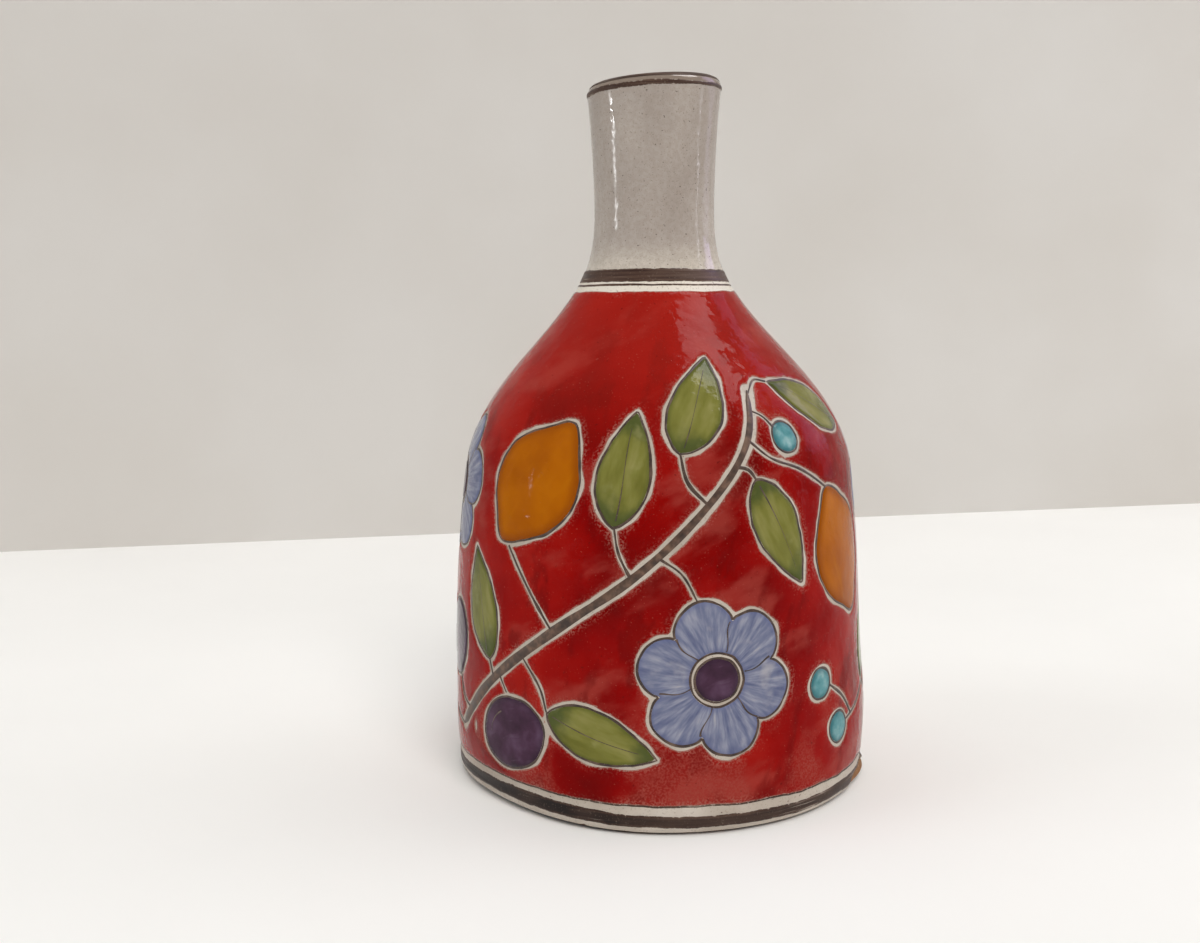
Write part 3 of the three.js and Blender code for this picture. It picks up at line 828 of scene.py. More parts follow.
def lemon_outline(steps=72):
    """An oval with a nub at each end."""
    turn = np.arange(steps) * 2 * math.pi / steps
    across = (LEMON_LENGTH / 2 - LEMON_NUB) * np.cos(turn) + LEMON_NUB * np.cos(turn) ** 11
    return np.stack([across, LEMON_WIDTH / 2 * np.sin(turn)], axis=1)


def glossy(tree, shader, rough_low, rough_high, ripple, ripple_size, mirror=0.12):
    """The melted surface that all the coloured glazes share: uneven gloss, ripples and pinholes."""
    roughened(tree, shader, clouds(tree, 7, detail=4), 0.35, 0.7, rough_low, rough_high)
    waves = clouds(tree, ripple_size, detail=2)
    dimples = clouds(tree, 0.4 * ripple_size, detail=2)
    pits = stretched(tree, clouds(tree, 1.3, detail=1), 0.22, 0.3)
    embossed(tree, shader, (waves, ripple), (dimples, 0.35 * ripple), (pits, 0.04))
    shader.inputs["Specular IOR Level"].default_value = mirror


ochre, tree, shader = shader_tree("ochre_glaze")
brush = kept(tree, "brush", "Vector")
strokes = clouds(tree, 3.0, detail=4, stretch=(5, 0.8, 1), source=brush)
painted(
    tree, shader, clouds(tree, 14, detail=3, source=brush),
    [(0.28, (0.29, 0.068, 0.0008)), (0.5, (0.365, 0.096, 0.0008)), (0.72, (0.42, 0.122, 0.0015))],
    ((0.42, 0.135, 0.003), strokes, 0.5, 0.75, 0, 0.4),
    ((0.235, 0.053, 0.002), kept(tree, "edge"), 0.2, 3.2, 0.75, 0.0),
)
glossy(tree, shader, 0.06, 0.16, 0.25, 6, mirror=0.05)
glaze_pools("lemon", lemon_outline(), LEMONS, ochre, "ochre_glaze")

# Leaves
# Olive-green glaze, pulled along each leaf in two or three strokes. It is yellow and thin in the
# middle, and a darker green was dabbed wet into the stalk end and the tip.
LEAF_LENGTH = 6.6 * MODULE
LEAF_WIDTH = 2.9 * MODULE
END_DAB = 62.0  # how fast the darker green comes in towards both ends, for each metre
LEAVES = [
    (-11, 48.5, 80), (11, 57.5, 68), (32, 39.5, -64), (58, 56.5, 152),
    (-57, 28.5, 106), (-17, 13, -18), (81, 22.5, 64),
]


def leaf_outline(steps=40):
    """A pointed leaf, widest towards its stalk."""
    share = np.linspace(0, 1, steps + 1)
    reach = LEAF_LENGTH * (share - 0.5)
    half = LEAF_WIDTH / 2 * np.abs(np.sin(math.pi * share**0.8)) ** 0.85
    lower = np.stack([reach, -half], axis=1)
    upper = np.stack([reach, half], axis=1)[1:-1][::-1]
    return np.concatenate([lower, upper])


green, tree, shader = shader_tree("leaf_glaze")
brush = kept(tree, "brush", "Vector")
parts = tree.nodes.new("ShaderNodeSeparateXYZ")
tree.links.new(brush, parts.inputs["Vector"])
from_middle = combined(tree, "ABSOLUTE", parts.outputs["X"], 0)
dabs = clouds(tree, 7, detail=3, source=brush)
end_dab = added(tree, product(tree, from_middle, END_DAB), dabs, 0.9)
painted(
    tree, shader, clouds(tree, 3.4, detail=3, stretch=(4, 1.1, 1), source=brush),
    [(0.32, (0.125, 0.123, 0.02)), (0.5, (0.17, 0.166, 0.034)), (0.68, (0.225, 0.212, 0.062))],
    ((0.048, 0.066, 0.017), end_dab, 0.85, 1.35, 0, 0.85),
    ((0.28, 0.265, 0.10), dabs, 0.58, 0.74, 0, 0.45),
    ((0.075, 0.085, 0.018), kept(tree, "edge"), 0.1, 1.4, 0.55, 0.0),
)
glossy(tree, shader, 0.06, 0.16, 0.22, 5)
glaze_pools("leaf", leaf_outline(), LEAVES, green, "leaf_glaze")

# Blossoms
# Lavender-blue glaze, brushed thinly outwards from the eye, so that the pale ground shows through
# between the strokes of each petal. The eye is left open for its own glaze.
BLOSSOM_RADIUS = 4.4 * MODULE
BLOSSOM_NOTCH = 1.1 * MODULE
BLOSSOM_EYE = 1.24 * MODULE
PETALS = 6
PETAL_GLAZE = 0.22  # thickness, less than that of other pools
EYE_RESERVE = 0.26 * MODULE
BLOSSOMS = [(13, 21, 15), (-83, 44, 40)]


def oval_outline(half_length, half_width, steps=48):
    """An ellipse, long way across."""
    turn = np.arange(steps) * 2 * math.pi / steps
    return np.stack([half_length * np.cos(turn), half_width * np.sin(turn)], axis=1)


def blossom_outline(steps=24 * PETALS):
    """A ring of round petals."""
    turn = np.arange(steps) * 2 * math.pi / steps
    dip = 1 - np.abs(np.sin(PETALS * turn / 2)) ** 0.7
    radius = BLOSSOM_RADIUS - BLOSSOM_NOTCH * dip
    return np.stack([radius * np.cos(turn), radius * np.sin(turn)], axis=1)


lavender, tree, shader = shader_tree("lavender_glaze")
brush = kept(tree, "brush", "Vector")
polar = tree.nodes.new("ShaderNodeTexGradient")
polar.gradient_type = "RADIAL"
tree.links.new(brush, polar.inputs["Vector"])
flat = tree.nodes.new("ShaderNodeVectorMath")
flat.operation = "MULTIPLY"
flat.inputs[1].default_value = (1, 1, 0)
tree.links.new(brush, flat.inputs[0])
reach = tree.nodes.new("ShaderNodeVectorMath")
reach.operation = "LENGTH"
tree.links.new(flat.outputs[0], reach.inputs[0])
spoke = tree.nodes.new("ShaderNodeCombineXYZ")
tree.links.new(product(tree, polar.outputs["Fac"], 0.11), spoke.inputs["X"])
tree.links.new(product(tree, reach.outputs["Value"], 0.22), spoke.inputs["Y"])
painted(
    tree, shader, clouds(tree, 1.7, detail=4, source=spoke.outputs["Vector"]),
    [
        (0.32, (0.095, 0.11, 0.20)), (0.5, (0.165, 0.18, 0.265)),
        (0.66, (0.26, 0.27, 0.34)), (0.78, (0.38, 0.36, 0.37)),
    ],
    ((0.40, 0.385, 0.40), clouds(tree, 10, detail=4, source=brush), 0.55, 0.75, 0, 0.6),  # thin places
    ((0.105, 0.12, 0.235), kept(tree, "edge"), 0.1, 1.8, 0.5, 0.0),
)
glossy(tree, shader, 0.08, 0.2, 0.18, 5)
eye_opening = oval_outline(BLOSSOM_EYE + EYE_RESERVE, BLOSSOM_EYE + EYE_RESERVE)
glaze_pools(
    "blossom", blossom_outline(), BLOSSOMS, lavender, "lavender_glaze",
    thickness=PETAL_GLAZE, hollow=eye_opening,
)

# Plums and blossom eyes
# Dark manganese-purple glaze, dropped on in one full load of the brush. It is nearly black where it
# lies thick and goes to violet where the brush lifted off.
PLUM_LENGTH = 5.0 * MODULE
PLUM_WIDTH = 4.2 * MODULE
PLUMS = [(-44, 11.5, 20), (-77, 21.5, 60)]

purple, tree, shader = shader_tree("purple_glaze")
brush = kept(tree, "brush", "Vector")
strokes = clouds(tree, 2.6, detail=4, stretch=(4, 0.9, 1), source=brush)
painted(
    tree, shader, clouds(tree, 8, detail=3, source=brush),
    [(0.3, (0.028, 0.010, 0.022)), (0.52, (0.056, 0.022, 0.046)), (0.74, (0.105, 0.055, 0.10))],
    ((0.15, 0.09, 0.145), strokes, 0.55, 0.78, 0, 0.55),
    ((0.026, 0.013, 0.026), kept(tree, "edge"), 0.1, 2.0, 0.5, 0.0),
)
glossy(tree, shader, 0.05, 0.14, 0.2, 5)
plum_outline = oval_outline(PLUM_LENGTH / 2, PLUM_WIDTH / 2)
glaze_pools("plum", plum_outline, PLUMS, purple, "purple_glaze")
eye_outline = oval_outline(BLOSSOM_EYE, BLOSSOM_EYE)
glaze_pools("eye", eye_outline, BLOSSOMS, purple, "purple_glaze", swell=0.25)

# Berries
# Single drops of turquoise copper glaze. Each melted into a small dome that is paler on top and
# deep green-blue round its foot.
BERRY_RADIUS = 0.92 * MODULE
BERRIES = [(38, 52, 0), (46, 18, 0), (54, 11, 0)]

turquoise, tree, shader = shader_tree("turquoise_glaze")
painted(
    tree, shader, clouds(tree, 4, detail=4, source=kept(tree, "brush", "Vector")),
    [(0.3, (0.045, 0.19, 0.215)), (0.5, (0.11, 0.285, 0.305)), (0.72, (0.27, 0.42, 0.42))],
    ((0.02, 0.105, 0.125), kept(tree, "edge"), 0.1, 2.0, 0.7, 0.0),
)
glossy(tree, shader, 0.05, 0.14, 0.08, 4)
berry_outline = oval_outline(BERRY_RADIUS, BERRY_RADIUS)
glaze_pools("berry", berry_outline, BERRIES, turquoise, "turquoise_glaze", swell=0.35)

# Branches
# The main branch of each repeat, laid in one stroke of thick brown slip with a flat brush, so that
# the brush's hairs leave ridges along it.
BRANCH_WIDTH = 0.6 * MODULE
BRANCH_HEIGHT = 0.24
BRANCH = [(-70, 9.5), (-52, 18), (-30, 26.5), (-8, 34.5), (10, 43), (24, 51.5), (30, 59)]
LINE_STEP = 0.9  # distance between the points of a drawn line
LINE_CREASE = 70.0  # degrees, so that only the two edges of a line are sharp


def even_steps(points, reach, places):
    """Points of a line at these places along it, where reach is how far along its own points lie."""
    across, up = points.T
    return np.stack([np.interp(places, reach, across), np.interp(places, reach, up)], axis=1)


def smooth_path(points, repeat):
    """A smooth line on the wall through (azimuth, percentage of the height) points of one repeat."""
    points = np.array([(azimuth + 360 * repeat / REPEATS, up * PERCENT) for azimuth, up in points], float)
    padded = np.concatenate([2 * points[:1] - points[1:2], points, 2 * points[-1:] - points[-2:-1]])
    share = np.linspace(0, 1, 24, endpoint=False)[:, None]
    runs = []
    for a, b, c, d in zip(padded, padded[1:], padded[2:], padded[3:]):
        bend = (2 * a - 5 * b + 4 * c - d) * share**2
        twist = (3 * b - a - 3 * c + d) * share**3
        runs.append(0.5 * (2 * b + (c - a) * share + bend + twist))
    fine = np.concatenate([*runs, points[-1:]])
    step = np.diff(fine, axis=0)
    length = np.hypot(step[:, 0] * arc_per_degree(fine[1:, 1]), step[:, 1])
    reach = np.concatenate([[0], np.cumsum(length)])
    return even_steps(fine, reach, np.linspace(0, reach[-1], max(3, int(reach[-1] / LINE_STEP) + 1)))


def brushed_line(path, width, lift, height, closed=False):
    """Points and faces of one brushed line along a path on the wall, with a rounded back.

    width is given for each point of the path.
    """
    if closed:
        ahead = np.roll(path, -1, axis=0) - np.roll(path, 1, axis=0)
    else:
        ahead = np.gradient(path, axis=0)
    scale = arc_per_degree(path[:, 1])
    run = np.stack([ahead[:, 0] * scale, ahead[:, 1]], axis=1)
    run /= np.linalg.norm(run, axis=1, keepdims=True)
    side = np.stack([-run[:, 1] / scale, run[:, 0]], axis=1)
    crown = ((-0.5, 0.0), (-0.25, 0.8), (0.0, 1.0), (0.25, 0.8), (0.5, 0.0))
    rows = []
    for across, rise in crown:
        at = path + side * (across * width)[:, None]
        rows.append(on_vase(at[:, 0], at[:, 1], lift + height * rise))
    points = np.stack(rows, axis=1).reshape(-1, 3)
    return points, ring_faces(len(path), len(crown), closed)


branch_paths = [smooth_path(BRANCH, repeat) for repeat in range(REPEATS)]
branch_lines = []
for number, path in enumerate(branch_paths):
    share = np.linspace(0, 1, len(path))
    uneven = np.array([noise.noise(Vector((12 * s, number, 4.4))) for s in share])
    ends = np.minimum(1, np.minimum(share, 1 - share) * 30 + 0.3)
    taper = BRANCH_WIDTH * (1.0 - 0.45 * share) * (1 + 0.22 * uneven) * ends
    branch_lines.append(brushed_line(path, taper, ON_GROUND, BRANCH_HEIGHT))
branch_fills = mesh_piece("branch_fills", *merged(branch_lines), crease=LINE_CREASE)

bark, tree, shader = shader_tree("brown_slip")
hairs = clouds(tree, 1.0, detail=4, stretch=(2.2, 2.2, 2.2))
painted(
    tree, shader, hairs,
    [(0.32, (0.026, 0.0125, 0.008)), (0.5, (0.062, 0.032, 0.020)), (0.7, (0.15, 0.085, 0.055))],
    ((0.20, 0.115, 0.07), clouds(tree, 6, detail=3), 0.55, 0.75, 0, 0.55),  # thin places
)
roughened(tree, shader, hairs, 0.3, 0.7, 0.3, 0.55)
embossed(tree, shader, (hairs, 0.06))
finished(branch_fills, bark, "iron_oxide", *[f"branch_glaze_{n + 1}" for n in range(REPEATS)])

# Drawn outlines and stalks
# Fine oxide lines drawn with a pointed brush: round each motif, over the leaves, petals and plums, and
# as the thin stalks that hang the motifs on their branch.
LINE_WIDTH = 0.66
PETAL_LINE_WIDTH = 0.6  # also that of the rings round an eye
VEIN_WIDTH = 0.55
PLUM_LINE_WIDTH = 0.5
STALK_WIDTH = 0.8
LINE_HEIGHT = 0.12
STALK_HEIGHT = 0.14
ON_PETAL = 0.2  # lift of a line that is drawn over a petal, a leaf or a plum
ON_LEAF = 0.22
ON_PLUM = 0.24
STALKS = [  # azimuth and percentage of the height, from the branch to the motif
    [(-30, 26.6), (-38, 32), (-45.5, 37.2)],
    [(-9, 34.3), (-12.2, 37.5), (-13.6, 41.0)],
    [(11, 43.6), (5.6, 46.6), (3.9, 50.4)],
    [(19, 48.4), (23, 47.9), (25.3, 46.4)],
    [(24.5, 51.8), (31, 49.2), (41, 47.4), (51.5, 44.6)],
    [(28.2, 56.0), (32, 55.0), (34.6, 53.4)],
    [(30, 58.6), (35, 60.6), (40.6, 60.3)],
    [(-2, 37.0), (4, 34.8), (8, 31.2)],
    [(-40, 22.8), (-34, 18.9), (-31.8, 15.6)],
    [(-48.5, 19.3), (-45.6, 17.0)],
    [(-64, 12.4), (-70, 13.6), (-73.4, 16.6)],
    [(-51, 18.5), (-52.7, 20.9)],
    [(-84, 34.0), (-88, 29), (-90.2, 22), (-88, 14), (-80, 10.4), (-70.5, 9.4)],
    [(-87, 12.8), (-96, 12.0), (-104.6, 15.0)],
    [(-106, 14.8), (-114, 12.6), (-122.4, 11.4)],
    [(-118, 11.9), (-123, 15.0), (-130.4, 17.6)],
]

oxide_line, tree, shader = shader_tree("drawn_oxide")
grain = clouds(tree, 0.45, detail=2)
painted(
    tree, shader, clouds(tree, 3.5, detail=4),
    [(0.34, (0.022, 0.0115, 0.0085)), (0.52, (0.050, 0.027, 0.018)), (0.7, (0.12, 0.075, 0.052))],
    ((0.24, 0.17, 0.13), grain, 0.6, 0.72, 0, 0.5),
)
roughened(tree, shader, grain, 0.3, 0.7, 0.34, 0.55)
embossed(tree, shader, (grain, 0.02))


def pen_width(count, width, seed, spread=0.4):
    """Width of a drawn line at each of its points: it swells and thins as the brush is pressed."""
    press = np.array([
        noise.noise(Vector((0.11 * n, seed * 1.7, 2.2))) + 0.6 * noise.noise(Vector((0.31 * n, seed, 9.1)))
        for n in range(count)
    ])
    return width * np.clip(1 + spread * 1.6 * press, 0.4, 1.7)


def path_on_wall(across, up, place):
    """A path on the wall from points in a motif's own frame."""
    return np.stack(to_wall(across, up, place), axis=1)


def outline_path(outline, place):
    """A motif's outline on the wall, drawn by hand, with even steps."""
    drawn = drawn_by_hand(outline, place)
    ring = np.concatenate([drawn, drawn[:1]])
    step = np.diff(ring, axis=0)
    reach = np.concatenate([[0], np.cumsum(np.hypot(step[:, 0], step[:, 1]))])
    places = np.linspace(0, reach[-1], int(reach[-1] / LINE_STEP), endpoint=False)
    return path_on_wall(*even_steps(ring, reach, places).T, place)


MOTIFS = [
    (outline, place)
    for outline, places in (
        (lemon_outline(), LEMONS),
        (leaf_outline(), LEAVES),
        (blossom_outline(), BLOSSOMS),
        (plum_outline, PLUMS),
        (berry_outline, BERRIES),
    )
    for place in round_the_vase(places)
]
lines = []


def draw(path, width, seed, lift=ON_GROUND, height=LINE_HEIGHT, press=(1, 1), closed=False):
    """Adds a line to the drawing. press is how hard the brush is pressed at its start and its end."""
    wide = pen_width(len(path), width, seed) * np.linspace(*press, len(path))
    lines.append(brushed_line(path, wide, lift, height, closed))


for number, (outline, place) in enumerate(MOTIFS):
    draw(outline_path(outline, place), LINE_WIDTH, number, closed=True)
petal_reach = np.linspace(BLOSSOM_EYE + EYE_RESERVE + 0.4, BLOSSOM_RADIUS - BLOSSOM_NOTCH - 0.3, 14)
for number, place in enumerate(round_the_vase(BLOSSOMS)):
    for outline in (eye_outline, eye_opening):
        draw(outline_path(outline, place), PETAL_LINE_WIDTH, 60 + number, closed=True)
    for petal in range(PETALS):
        sway = 2 * math.pi * petal / PETALS + 0.06 * np.sin(petal_reach / 2.1 + petal)
        path = path_on_wall(petal_reach * np.cos(sway), petal_reach * np.sin(sway), place)
        draw(path, PETAL_LINE_WIDTH, 80 + 7 * number + petal, ON_PETAL, press=(0.7, 1.1))
vein_reach = np.linspace(-0.44, 0.34, 30) * LEAF_LENGTH
for number, place in enumerate(round_the_vase(LEAVES)):
    path = path_on_wall(vein_reach, 0.5 * np.sin(vein_reach / 7 + number), place)
    draw(path, VEIN_WIDTH, 130 + number, ON_LEAF, press=(1.1, 0.45))
arc = np.linspace(math.radians(100), math.radians(165), 16)
for number, place in enumerate(round_the_vase(PLUMS)):
    path = path_on_wall(0.34 * PLUM_LENGTH * np.cos(arc), 0.32 * PLUM_WIDTH * np.sin(arc), place)
    draw(path, PLUM_LINE_WIDTH, 170 + number, ON_PLUM)
stalk_paths = []
for repeat in range(REPEATS):
    for number, stalk in enumerate(STALKS):
        stalk_paths.append(smooth_path(stalk, repeat))
        seed = 200 + 31 * repeat + number
        draw(stalk_paths[-1], STALK_WIDTH, seed, height=STALK_HEIGHT, press=(1.15, 0.75))
drawn_lines = mesh_piece("drawn_lines", *merged(lines), crease=LINE_CREASE)
finished(drawn_lines, oxide_line, "iron_oxide")

# Red field
# A full, glossy red glaze, brushed in last all round the motifs from the foot line to the neck. The
# brush kept clear of the drawn lines by an uneven hair's breadth, and its passes stay visible.
RED_FOOT_Z = 8.75
RED_TOP_Z = 147.95
RED_STEP = 0.9  # fineness of the mesh
MARGIN = 0.95  # bare ground outside a motif's outline
MARGIN_WANDER = 0.6
LEAST_MARGIN = 0.45
BRANCH_MARGIN = 0.55  # bare ground beside a branch
STALK_MARGIN = 0.85  # and on each side of the middle of a stalk
STALK_WANDER = 0.4
TOP_WANDER = 0.3
SEARCH = 12  # points of a line that are searched together, for speed
SEARCH_REACH = 16.0
# Nicks where the glaze was knocked off: azimuth, height, half their width and half their length.
NICKS = ((-60.8, 21.2, 0.7, 1.7), (128, 88, 0.6, 0.9), (-140, 60, 0.8, 0.7), (205, 34, 0.6, 1.2))


def field_tremor(azimuth, along):
    """Uneven edge of the red brushwork, about -1 to 1, at points on the wall."""
    turn = np.radians(azimuth)
    ring = BELLY_RADIUS / 6
    return np.array([
        noise.noise(Vector((ring * math.cos(t), ring * math.sin(t), s / 6)))
        + 0.35 * noise.noise(Vector((2 * ring * math.cos(t), 2 * ring * math.sin(t), s / 3)))
        for t, s in zip(turn.ravel(), along.ravel())
    ]).reshape(azimuth.shape)


def clear_of_path(azimuth, along, path):
    """Distance from points on the wall to a line drawn on it."""
    nearest = np.full(azimuth.shape, 1e9)
    for a, b in path:
        sideways = swing(azimuth, a) * arc_per_degree(b)
        nearest = np.minimum(nearest, np.hypot(sideways, along - b))
    return nearest


def near(azimuth, along, place, reach):
    """Which points lie within reach of a place on the wall."""
    sideways = np.abs(swing(azimuth, place[0])) * arc_per_degree(place[1])
    return (sideways < reach) & (np.abs(along - place[1]) < reach)


def red_inside(azimuth, along):
    """How far inside the red field each point of the wall lies."""
    tremor = field_tremor(azimuth, along)
    edge_low = along_at(RED_FOOT_Z) + field_edge(azimuth[0])
    edge_high = along_at(RED_TOP_Z) + TOP_WANDER * wander(azimuth[0], 24, 42)
    inside = np.minimum(along - edge_low, edge_high - along)
    margin = MARGIN + MARGIN_WANDER * tremor
    for outline, place in MOTIFS:
        reach = np.abs(outline).max() * 1.5 + 8
        spot = near(azimuth, along, place, reach)
        across, up = from_wall(azimuth[spot], along[spot], place)
        gap = -inside_by(across, up, drawn_by_hand(outline, place)) - np.maximum(margin[spot], LEAST_MARGIN)
        inside[spot] = np.minimum(inside[spot], gap)
    kept_clear = [(path, BRANCH_WIDTH / 2 + BRANCH_MARGIN) for path in branch_paths]
    kept_clear += [(path, STALK_MARGIN) for path in stalk_paths]
    for path, clearance in kept_clear:
        for start in range(0, len(path), SEARCH):
            part = path[start:start + SEARCH + 1]
            spot = near(azimuth, along, part[len(part) // 2], SEARCH_REACH)
            gap = clear_of_path(azimuth[spot], along[spot], part) - clearance - STALK_WANDER * tremor[spot]
            inside[spot] = np.minimum(inside[spot], gap)
    for place, height, half, long in NICKS:
        across = swing(azimuth, place) * arc_per_degree(along_at(height)) / half
        up = (along - along_at(height)) / long
        inside = np.minimum(inside, half * (np.hypot(across, up) - 1 - 0.4 * tremor))
    return inside


red_columns = int(2 * math.pi * BELLY_RADIUS / RED_STEP)
red_low = along_at(RED_FOOT_Z) - 2
red_rows = int((along_at(RED_TOP_Z) + 2 - red_low) / RED_STEP) + 1
grid_azimuth, grid_along = np.meshgrid(
    np.arange(red_columns) * 360 / red_columns - 180, red_low + np.arange(red_rows) * RED_STEP
)
spots, values, faces = filled_cells(red_inside(grid_azimuth, grid_along), wraps=True)
red_azimuth = spots[:, 1] * 360 / red_columns - 180
red_along = red_low + spots[:, 0] * RED_STEP
points, faces, inner = closed_pool(red_azimuth, red_along, values, faces, pooled_lift(values, FIELD))
red_brushwork = mesh_piece("red_brushwork", points, faces)
keep_number(red_brushwork, "edge", np.concatenate([values, values[inner]]))

red, tree, shader = shader_tree("red_glaze")
passes = clouds(tree, 12, detail=4, stretch=(1.9, 1.9, 0.9), tilt=(0, 24, 0))
cross_passes = clouds(tree, 11, detail=4, stretch=(0.8, 0.8, 2.2), tilt=(18, -14, 0))
pinholes = clouds(tree, 0.6, detail=2)
dryness = clouds(tree, 17, detail=2)
edge = kept(tree, "edge")
low_down = stretched(tree, height_of(tree), 10, 46, 1.0, 0)
# Low down the red is paler and speckled: thin dry glaze, and a painted sheen.
low_dry_and_sheen = product(tree, low_down, stretched(tree, dryness, 0.43, 0.57))
grainy = stretched(tree, dryness, 0.46, 0.66, 0.15, 0.75)
grainy = product(tree, grainy, stretched(tree, pinholes, 0.46, 0.62))
painted(
    tree, shader, clouds(tree, 30, detail=3),
    [
        (0.30, (0.135, 0.0005, 0.0004)), (0.46, (0.215, 0.0008, 0.0005)),
        (0.6, (0.27, 0.003, 0.0015)), (0.76, (0.33, 0.012, 0.007)),
    ],
    ((0.32, 0.045, 0.033), passes, 0.52, 0.70, 0, 0.6),  # thin passes of the brush
    ((0.12, 0.0007, 0.0006), cross_passes, 0.54, 0.66, 0, 0.55),  # thick ones across them
    ((0.38, 0.02, 0.011), height_of(tree), 95, 140, 0, 0.45),  # painted light: brighter on the shoulder, which faces up
    # pinkish speckles low down: thin dry glaze, and a painted sheen
    ((0.30, 0.05, 0.036), product(tree, low_dry_and_sheen, stretched(tree, pinholes, 0.4, 0.6, 0.25, 0.75))),
    ((0.36, 0.13, 0.10), product(tree, stretched(tree, edge, 0.2, 2.6, 0.9, 0.0), grainy)),
    ((0.36, 0.22, 0.175), added(tree, edge, pinholes, 1.4), 0.7, 1.15, 0.8, 0),  # fading edge
    ((0.36, 0.09, 0.065), pinholes, 0.66, 0.76, 0, 0.4),
    ((0.075, 0.004, 0.003), clouds(tree, 0.9, detail=2), 0.68, 0.76, 0, 0.6),  # dark specks
)
glossy(tree, shader, 0.06, 0.16, 0.45, 9, mirror=0.05)
finished(red_brushwork, red, "red_glaze", "red_field")

# Shelf, wall, light and camera
# A plain white shelf in front of a plain pale wall, in soft daylight from the left, the right and the
# front. A few panes only show as highlights in the glaze. None of this belongs to the vase.
PHOTO_WIDTH = 1200  # pixels, like the focal length
CAMERA_PLACE = (-17.0, -430.0, 148.0)
CAMERA_PITCH = 7.31
CAMERA_ROLL = -0.39
FOCAL_PIXELS = 1402.0
SENSOR = 36.0
WALL_LEFT = (-359.0, 376.0)  # where the wall meets the shelf at the picture's two sides
WALL_RIGHT = (389.0, 527.0)
WALL_BEYOND = 2.5  # lengths of that stretch by which the wall goes on past each side
WALL_HEIGHT = 1100.0
SHELF_HALF = 2500.0
LAMP_AIM = Vector((0, 0, 0.11))  # metres, like the places of the lamps
DAYLIGHT_SPREAD = 36.0  # degrees, which softens the shadows


def flat_sheet(name, corners):
    """A plain rectangle of the surroundings, from corners in millimetres."""
    sheet = mesh_piece(name, np.array(corners, float) * MM, [(0, 1, 2, 3)])
    return sheet


def plain_surface(name, colour, tint, rough, mirror):
    """A material that goes softly from one linear colour to another."""
    material, tree, shader = shader_tree(name)
    painted(tree, shader, clouds(tree, 160), [(0.3, colour), (0.7, tint)])
    shader.inputs["Roughness"].default_value = rough
    shader.inputs["Specular IOR Level"].default_value = mirror
    return material


def open_from_behind(material):
    """Lets a view from behind the wall see through it."""
    tree = material.node_tree
    side = tree.nodes.new("ShaderNodeNewGeometry").outputs["Backfacing"]
    clear_side = tree.nodes.new("ShaderNodeBsdfTransparent")
    either = tree.nodes.new("ShaderNodeMixShader")
    tree.links.new(side, either.inputs[0])
    tree.links.new(tree.nodes["Principled BSDF"].outputs[0], either.inputs[1])
    tree.links.new(clear_side.outputs[0], either.inputs[2])
    tree.links.new(either.outputs[0], tree.nodes["Material Output"].inputs["Surface"])


shelf = flat_sheet("shelf", [
    (-SHELF_HALF, -SHELF_HALF, 0), (SHELF_HALF, -SHELF_HALF, 0),
    (SHELF_HALF, SHELF_HALF, 0), (-SHELF_HALF, SHELF_HALF, 0),
])
white = plain_surface("white_shelf", (0.895, 0.889, 0.866), (0.92, 0.914, 0.891), 0.55, 0.0)
shelf.data.materials.append(white)
along_wall = np.subtract(WALL_RIGHT, WALL_LEFT)
wall_from = np.array(WALL_LEFT) - WALL_BEYOND * along_wall
wall_to = np.array(WALL_RIGHT) + WALL_BEYOND * along_wall
wall = flat_sheet("wall", [
    (*wall_from, 0), (*wall_to, 0), (*wall_to, WALL_HEIGHT), (*wall_from, WALL_HEIGHT),
])
whitewash = plain_surface("pale_wall", (0.59, 0.563, 0.525), (0.63, 0.61, 0.58), 0.9, 0.2)
open_from_behind(whitewash)
wall.data.materials.append(whitewash)

world = bpy.data.worlds.new("daylight")
bpy.context.scene.world = world
world.use_nodes = True
sky = world.node_tree
parts = sky.nodes.new("ShaderNodeSeparateXYZ")
sky.links.new(sky.nodes.new("ShaderNodeTexCoord").outputs["Generated"], parts.inputs["Vector"])
in_front = stretched(sky, parts.outputs["Y"], 0.2, -0.7)
overhead = added(sky, product(sky, parts.outputs["Z"], 0.8), parts.outputs["Y"], 0.6)
at_left = stretched(sky, parts.outputs["X"], 0.2, -0.8)
room = laid_over(sky, at_left, (0.70, 0.70, 0.72), (0.40, 0.435, 0.47))
room = laid_over(sky, in_front, room, (0.20, 0.20, 0.21))
room = laid_over(sky, stretched(sky, overhead, 0.45, 0.9), room, (1.38, 1.38, 1.37))
ray = sky.nodes.new("ShaderNodeLightPath")
seen = combined(sky, "MAXIMUM", ray.outputs["Is Camera Ray"], ray.outputs["Is Glossy Ray"])
seen = combined(sky, "MAXIMUM", seen, ray.outputs["Is Transmission Ray"])
room = laid_over(sky, seen, room, (0.76, 0.74, 0.71))
sky.links.new(room, sky.nodes["Background"].inputs["Color"])
sky.nodes["Background"].inputs["Strength"].default_value = 0.8


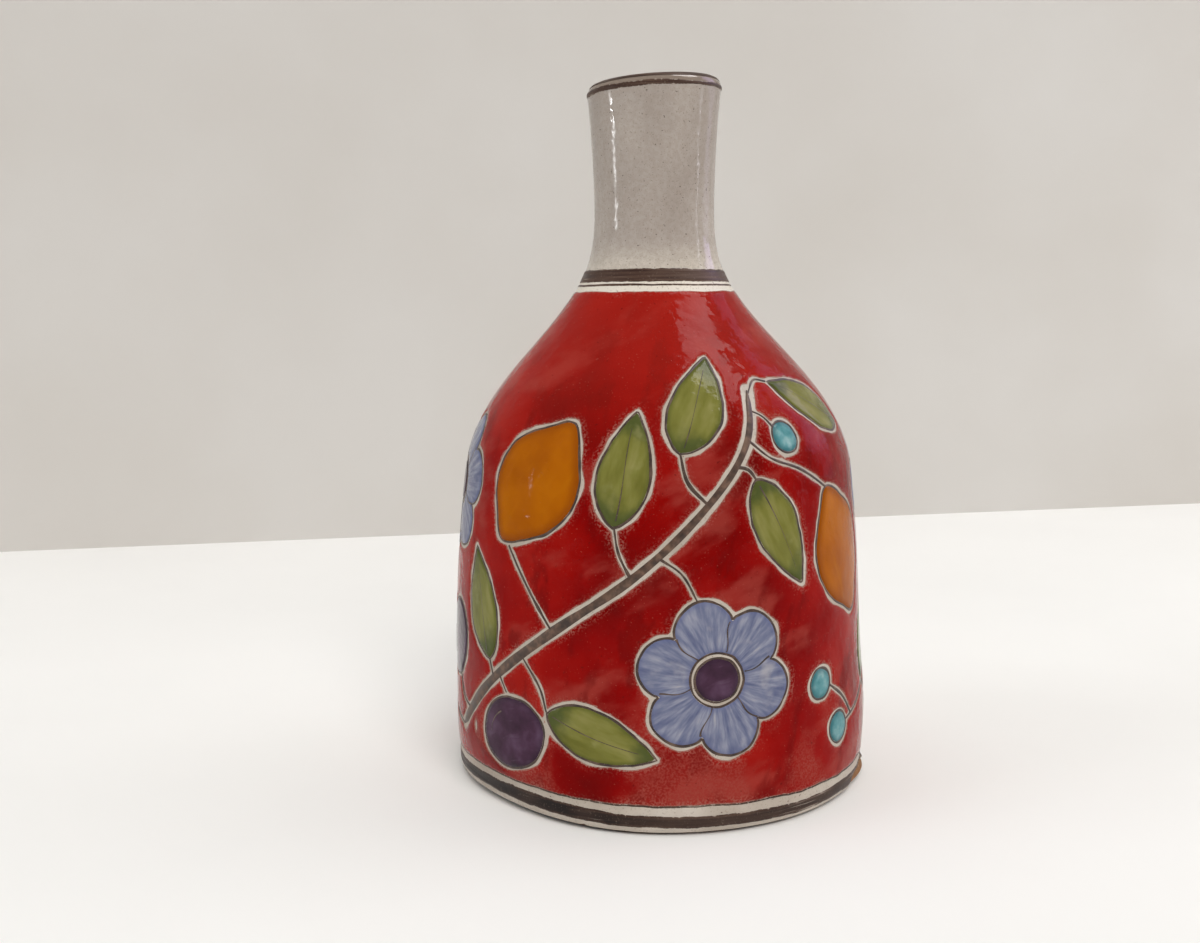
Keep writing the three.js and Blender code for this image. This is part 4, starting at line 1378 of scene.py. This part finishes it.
def lamp(name, kind, power, colour, travel, mirrored):
    """A light that shines this way. One that isn't mirrored has no reflection in the glaze."""
    light = bpy.data.objects.new(name, bpy.data.lights.new(name, kind))
    light.data.energy = power
    light.data.color = colour
    light.visible_glossy = mirrored
    light.rotation_euler = Vector(travel).to_track_quat("-Z", "Y").to_euler()
    bpy.context.scene.collection.objects.link(light)
    return light


def window(name, place, size, power, colour, lights=True, mirrored=True):
    """A soft rectangular light that faces the middle of the vase.

    One that doesn't light it is only seen in the glaze, like a pane across the room.
    """
    light = lamp(name, "AREA", power, colour, LAMP_AIM - Vector(place), mirrored)
    light.location = place
    light.data.shape = "RECTANGLE"
    light.data.size, light.data.size_y = size
    light.visible_diffuse = lights


def even_daylight(name, travel, strength, colour):
    """Soft light at one level all over, which goes this way."""
    light = lamp(name, "SUN", strength, colour, travel, mirrored=False)
    light.data.angle = math.radians(DAYLIGHT_SPREAD)


window("left_pane", (-1.23, -0.24, 0.28), (0.03, 0.2), 0.85, (0.98, 0.99, 1.0), lights=False)
window("right_pane", (1.25, -0.06, 0.42), (0.03, 0.8), 0.5, (0.92, 0.9, 1.0), lights=False)
window("right_sheen", (1.2, 0.6, 0.4), (0.5, 1.0), 1.2, (0.74, 0.68, 1.0), lights=False)
window("tall_pane", (0.95, 0.42, 0.68), (0.5, 0.7), 2.0, (0.72, 0.56, 1.0), lights=False)
window("roof_pane", (0.45, -0.03, 0.95), (0.34, 0.42), 4.2, (1.0, 0.97, 0.97), lights=False)
window("right_daylight", (1.3, 0.2, 0.7), (0.9, 1.0), 2.4, (0.98, 0.97, 1.0), mirrored=False)
even_daylight("left_daylight", (1.3, 0.3, -0.69), 0.6, (0.9, 0.96, 1.0))
even_daylight("front_daylight", (-0.35, 1.5, -1.4), 1.9, (1.0, 0.975, 0.95))

lens = bpy.data.cameras.new("camera")
lens.sensor_width = SENSOR
lens.lens = FOCAL_PIXELS * SENSOR / PHOTO_WIDTH
camera = bpy.data.objects.new("camera", lens)
bpy.context.scene.collection.objects.link(camera)
camera.matrix_world = (
    Matrix.Translation(Vector(CAMERA_PLACE) * MM)
    @ Matrix.Rotation(math.radians(90 - CAMERA_PITCH), 4, "X")
    @ Matrix.Rotation(math.radians(CAMERA_ROLL), 4, "Z")
)
bpy.context.scene.camera = camera
bpy.context.scene.view_settings.view_transform = "Standard"
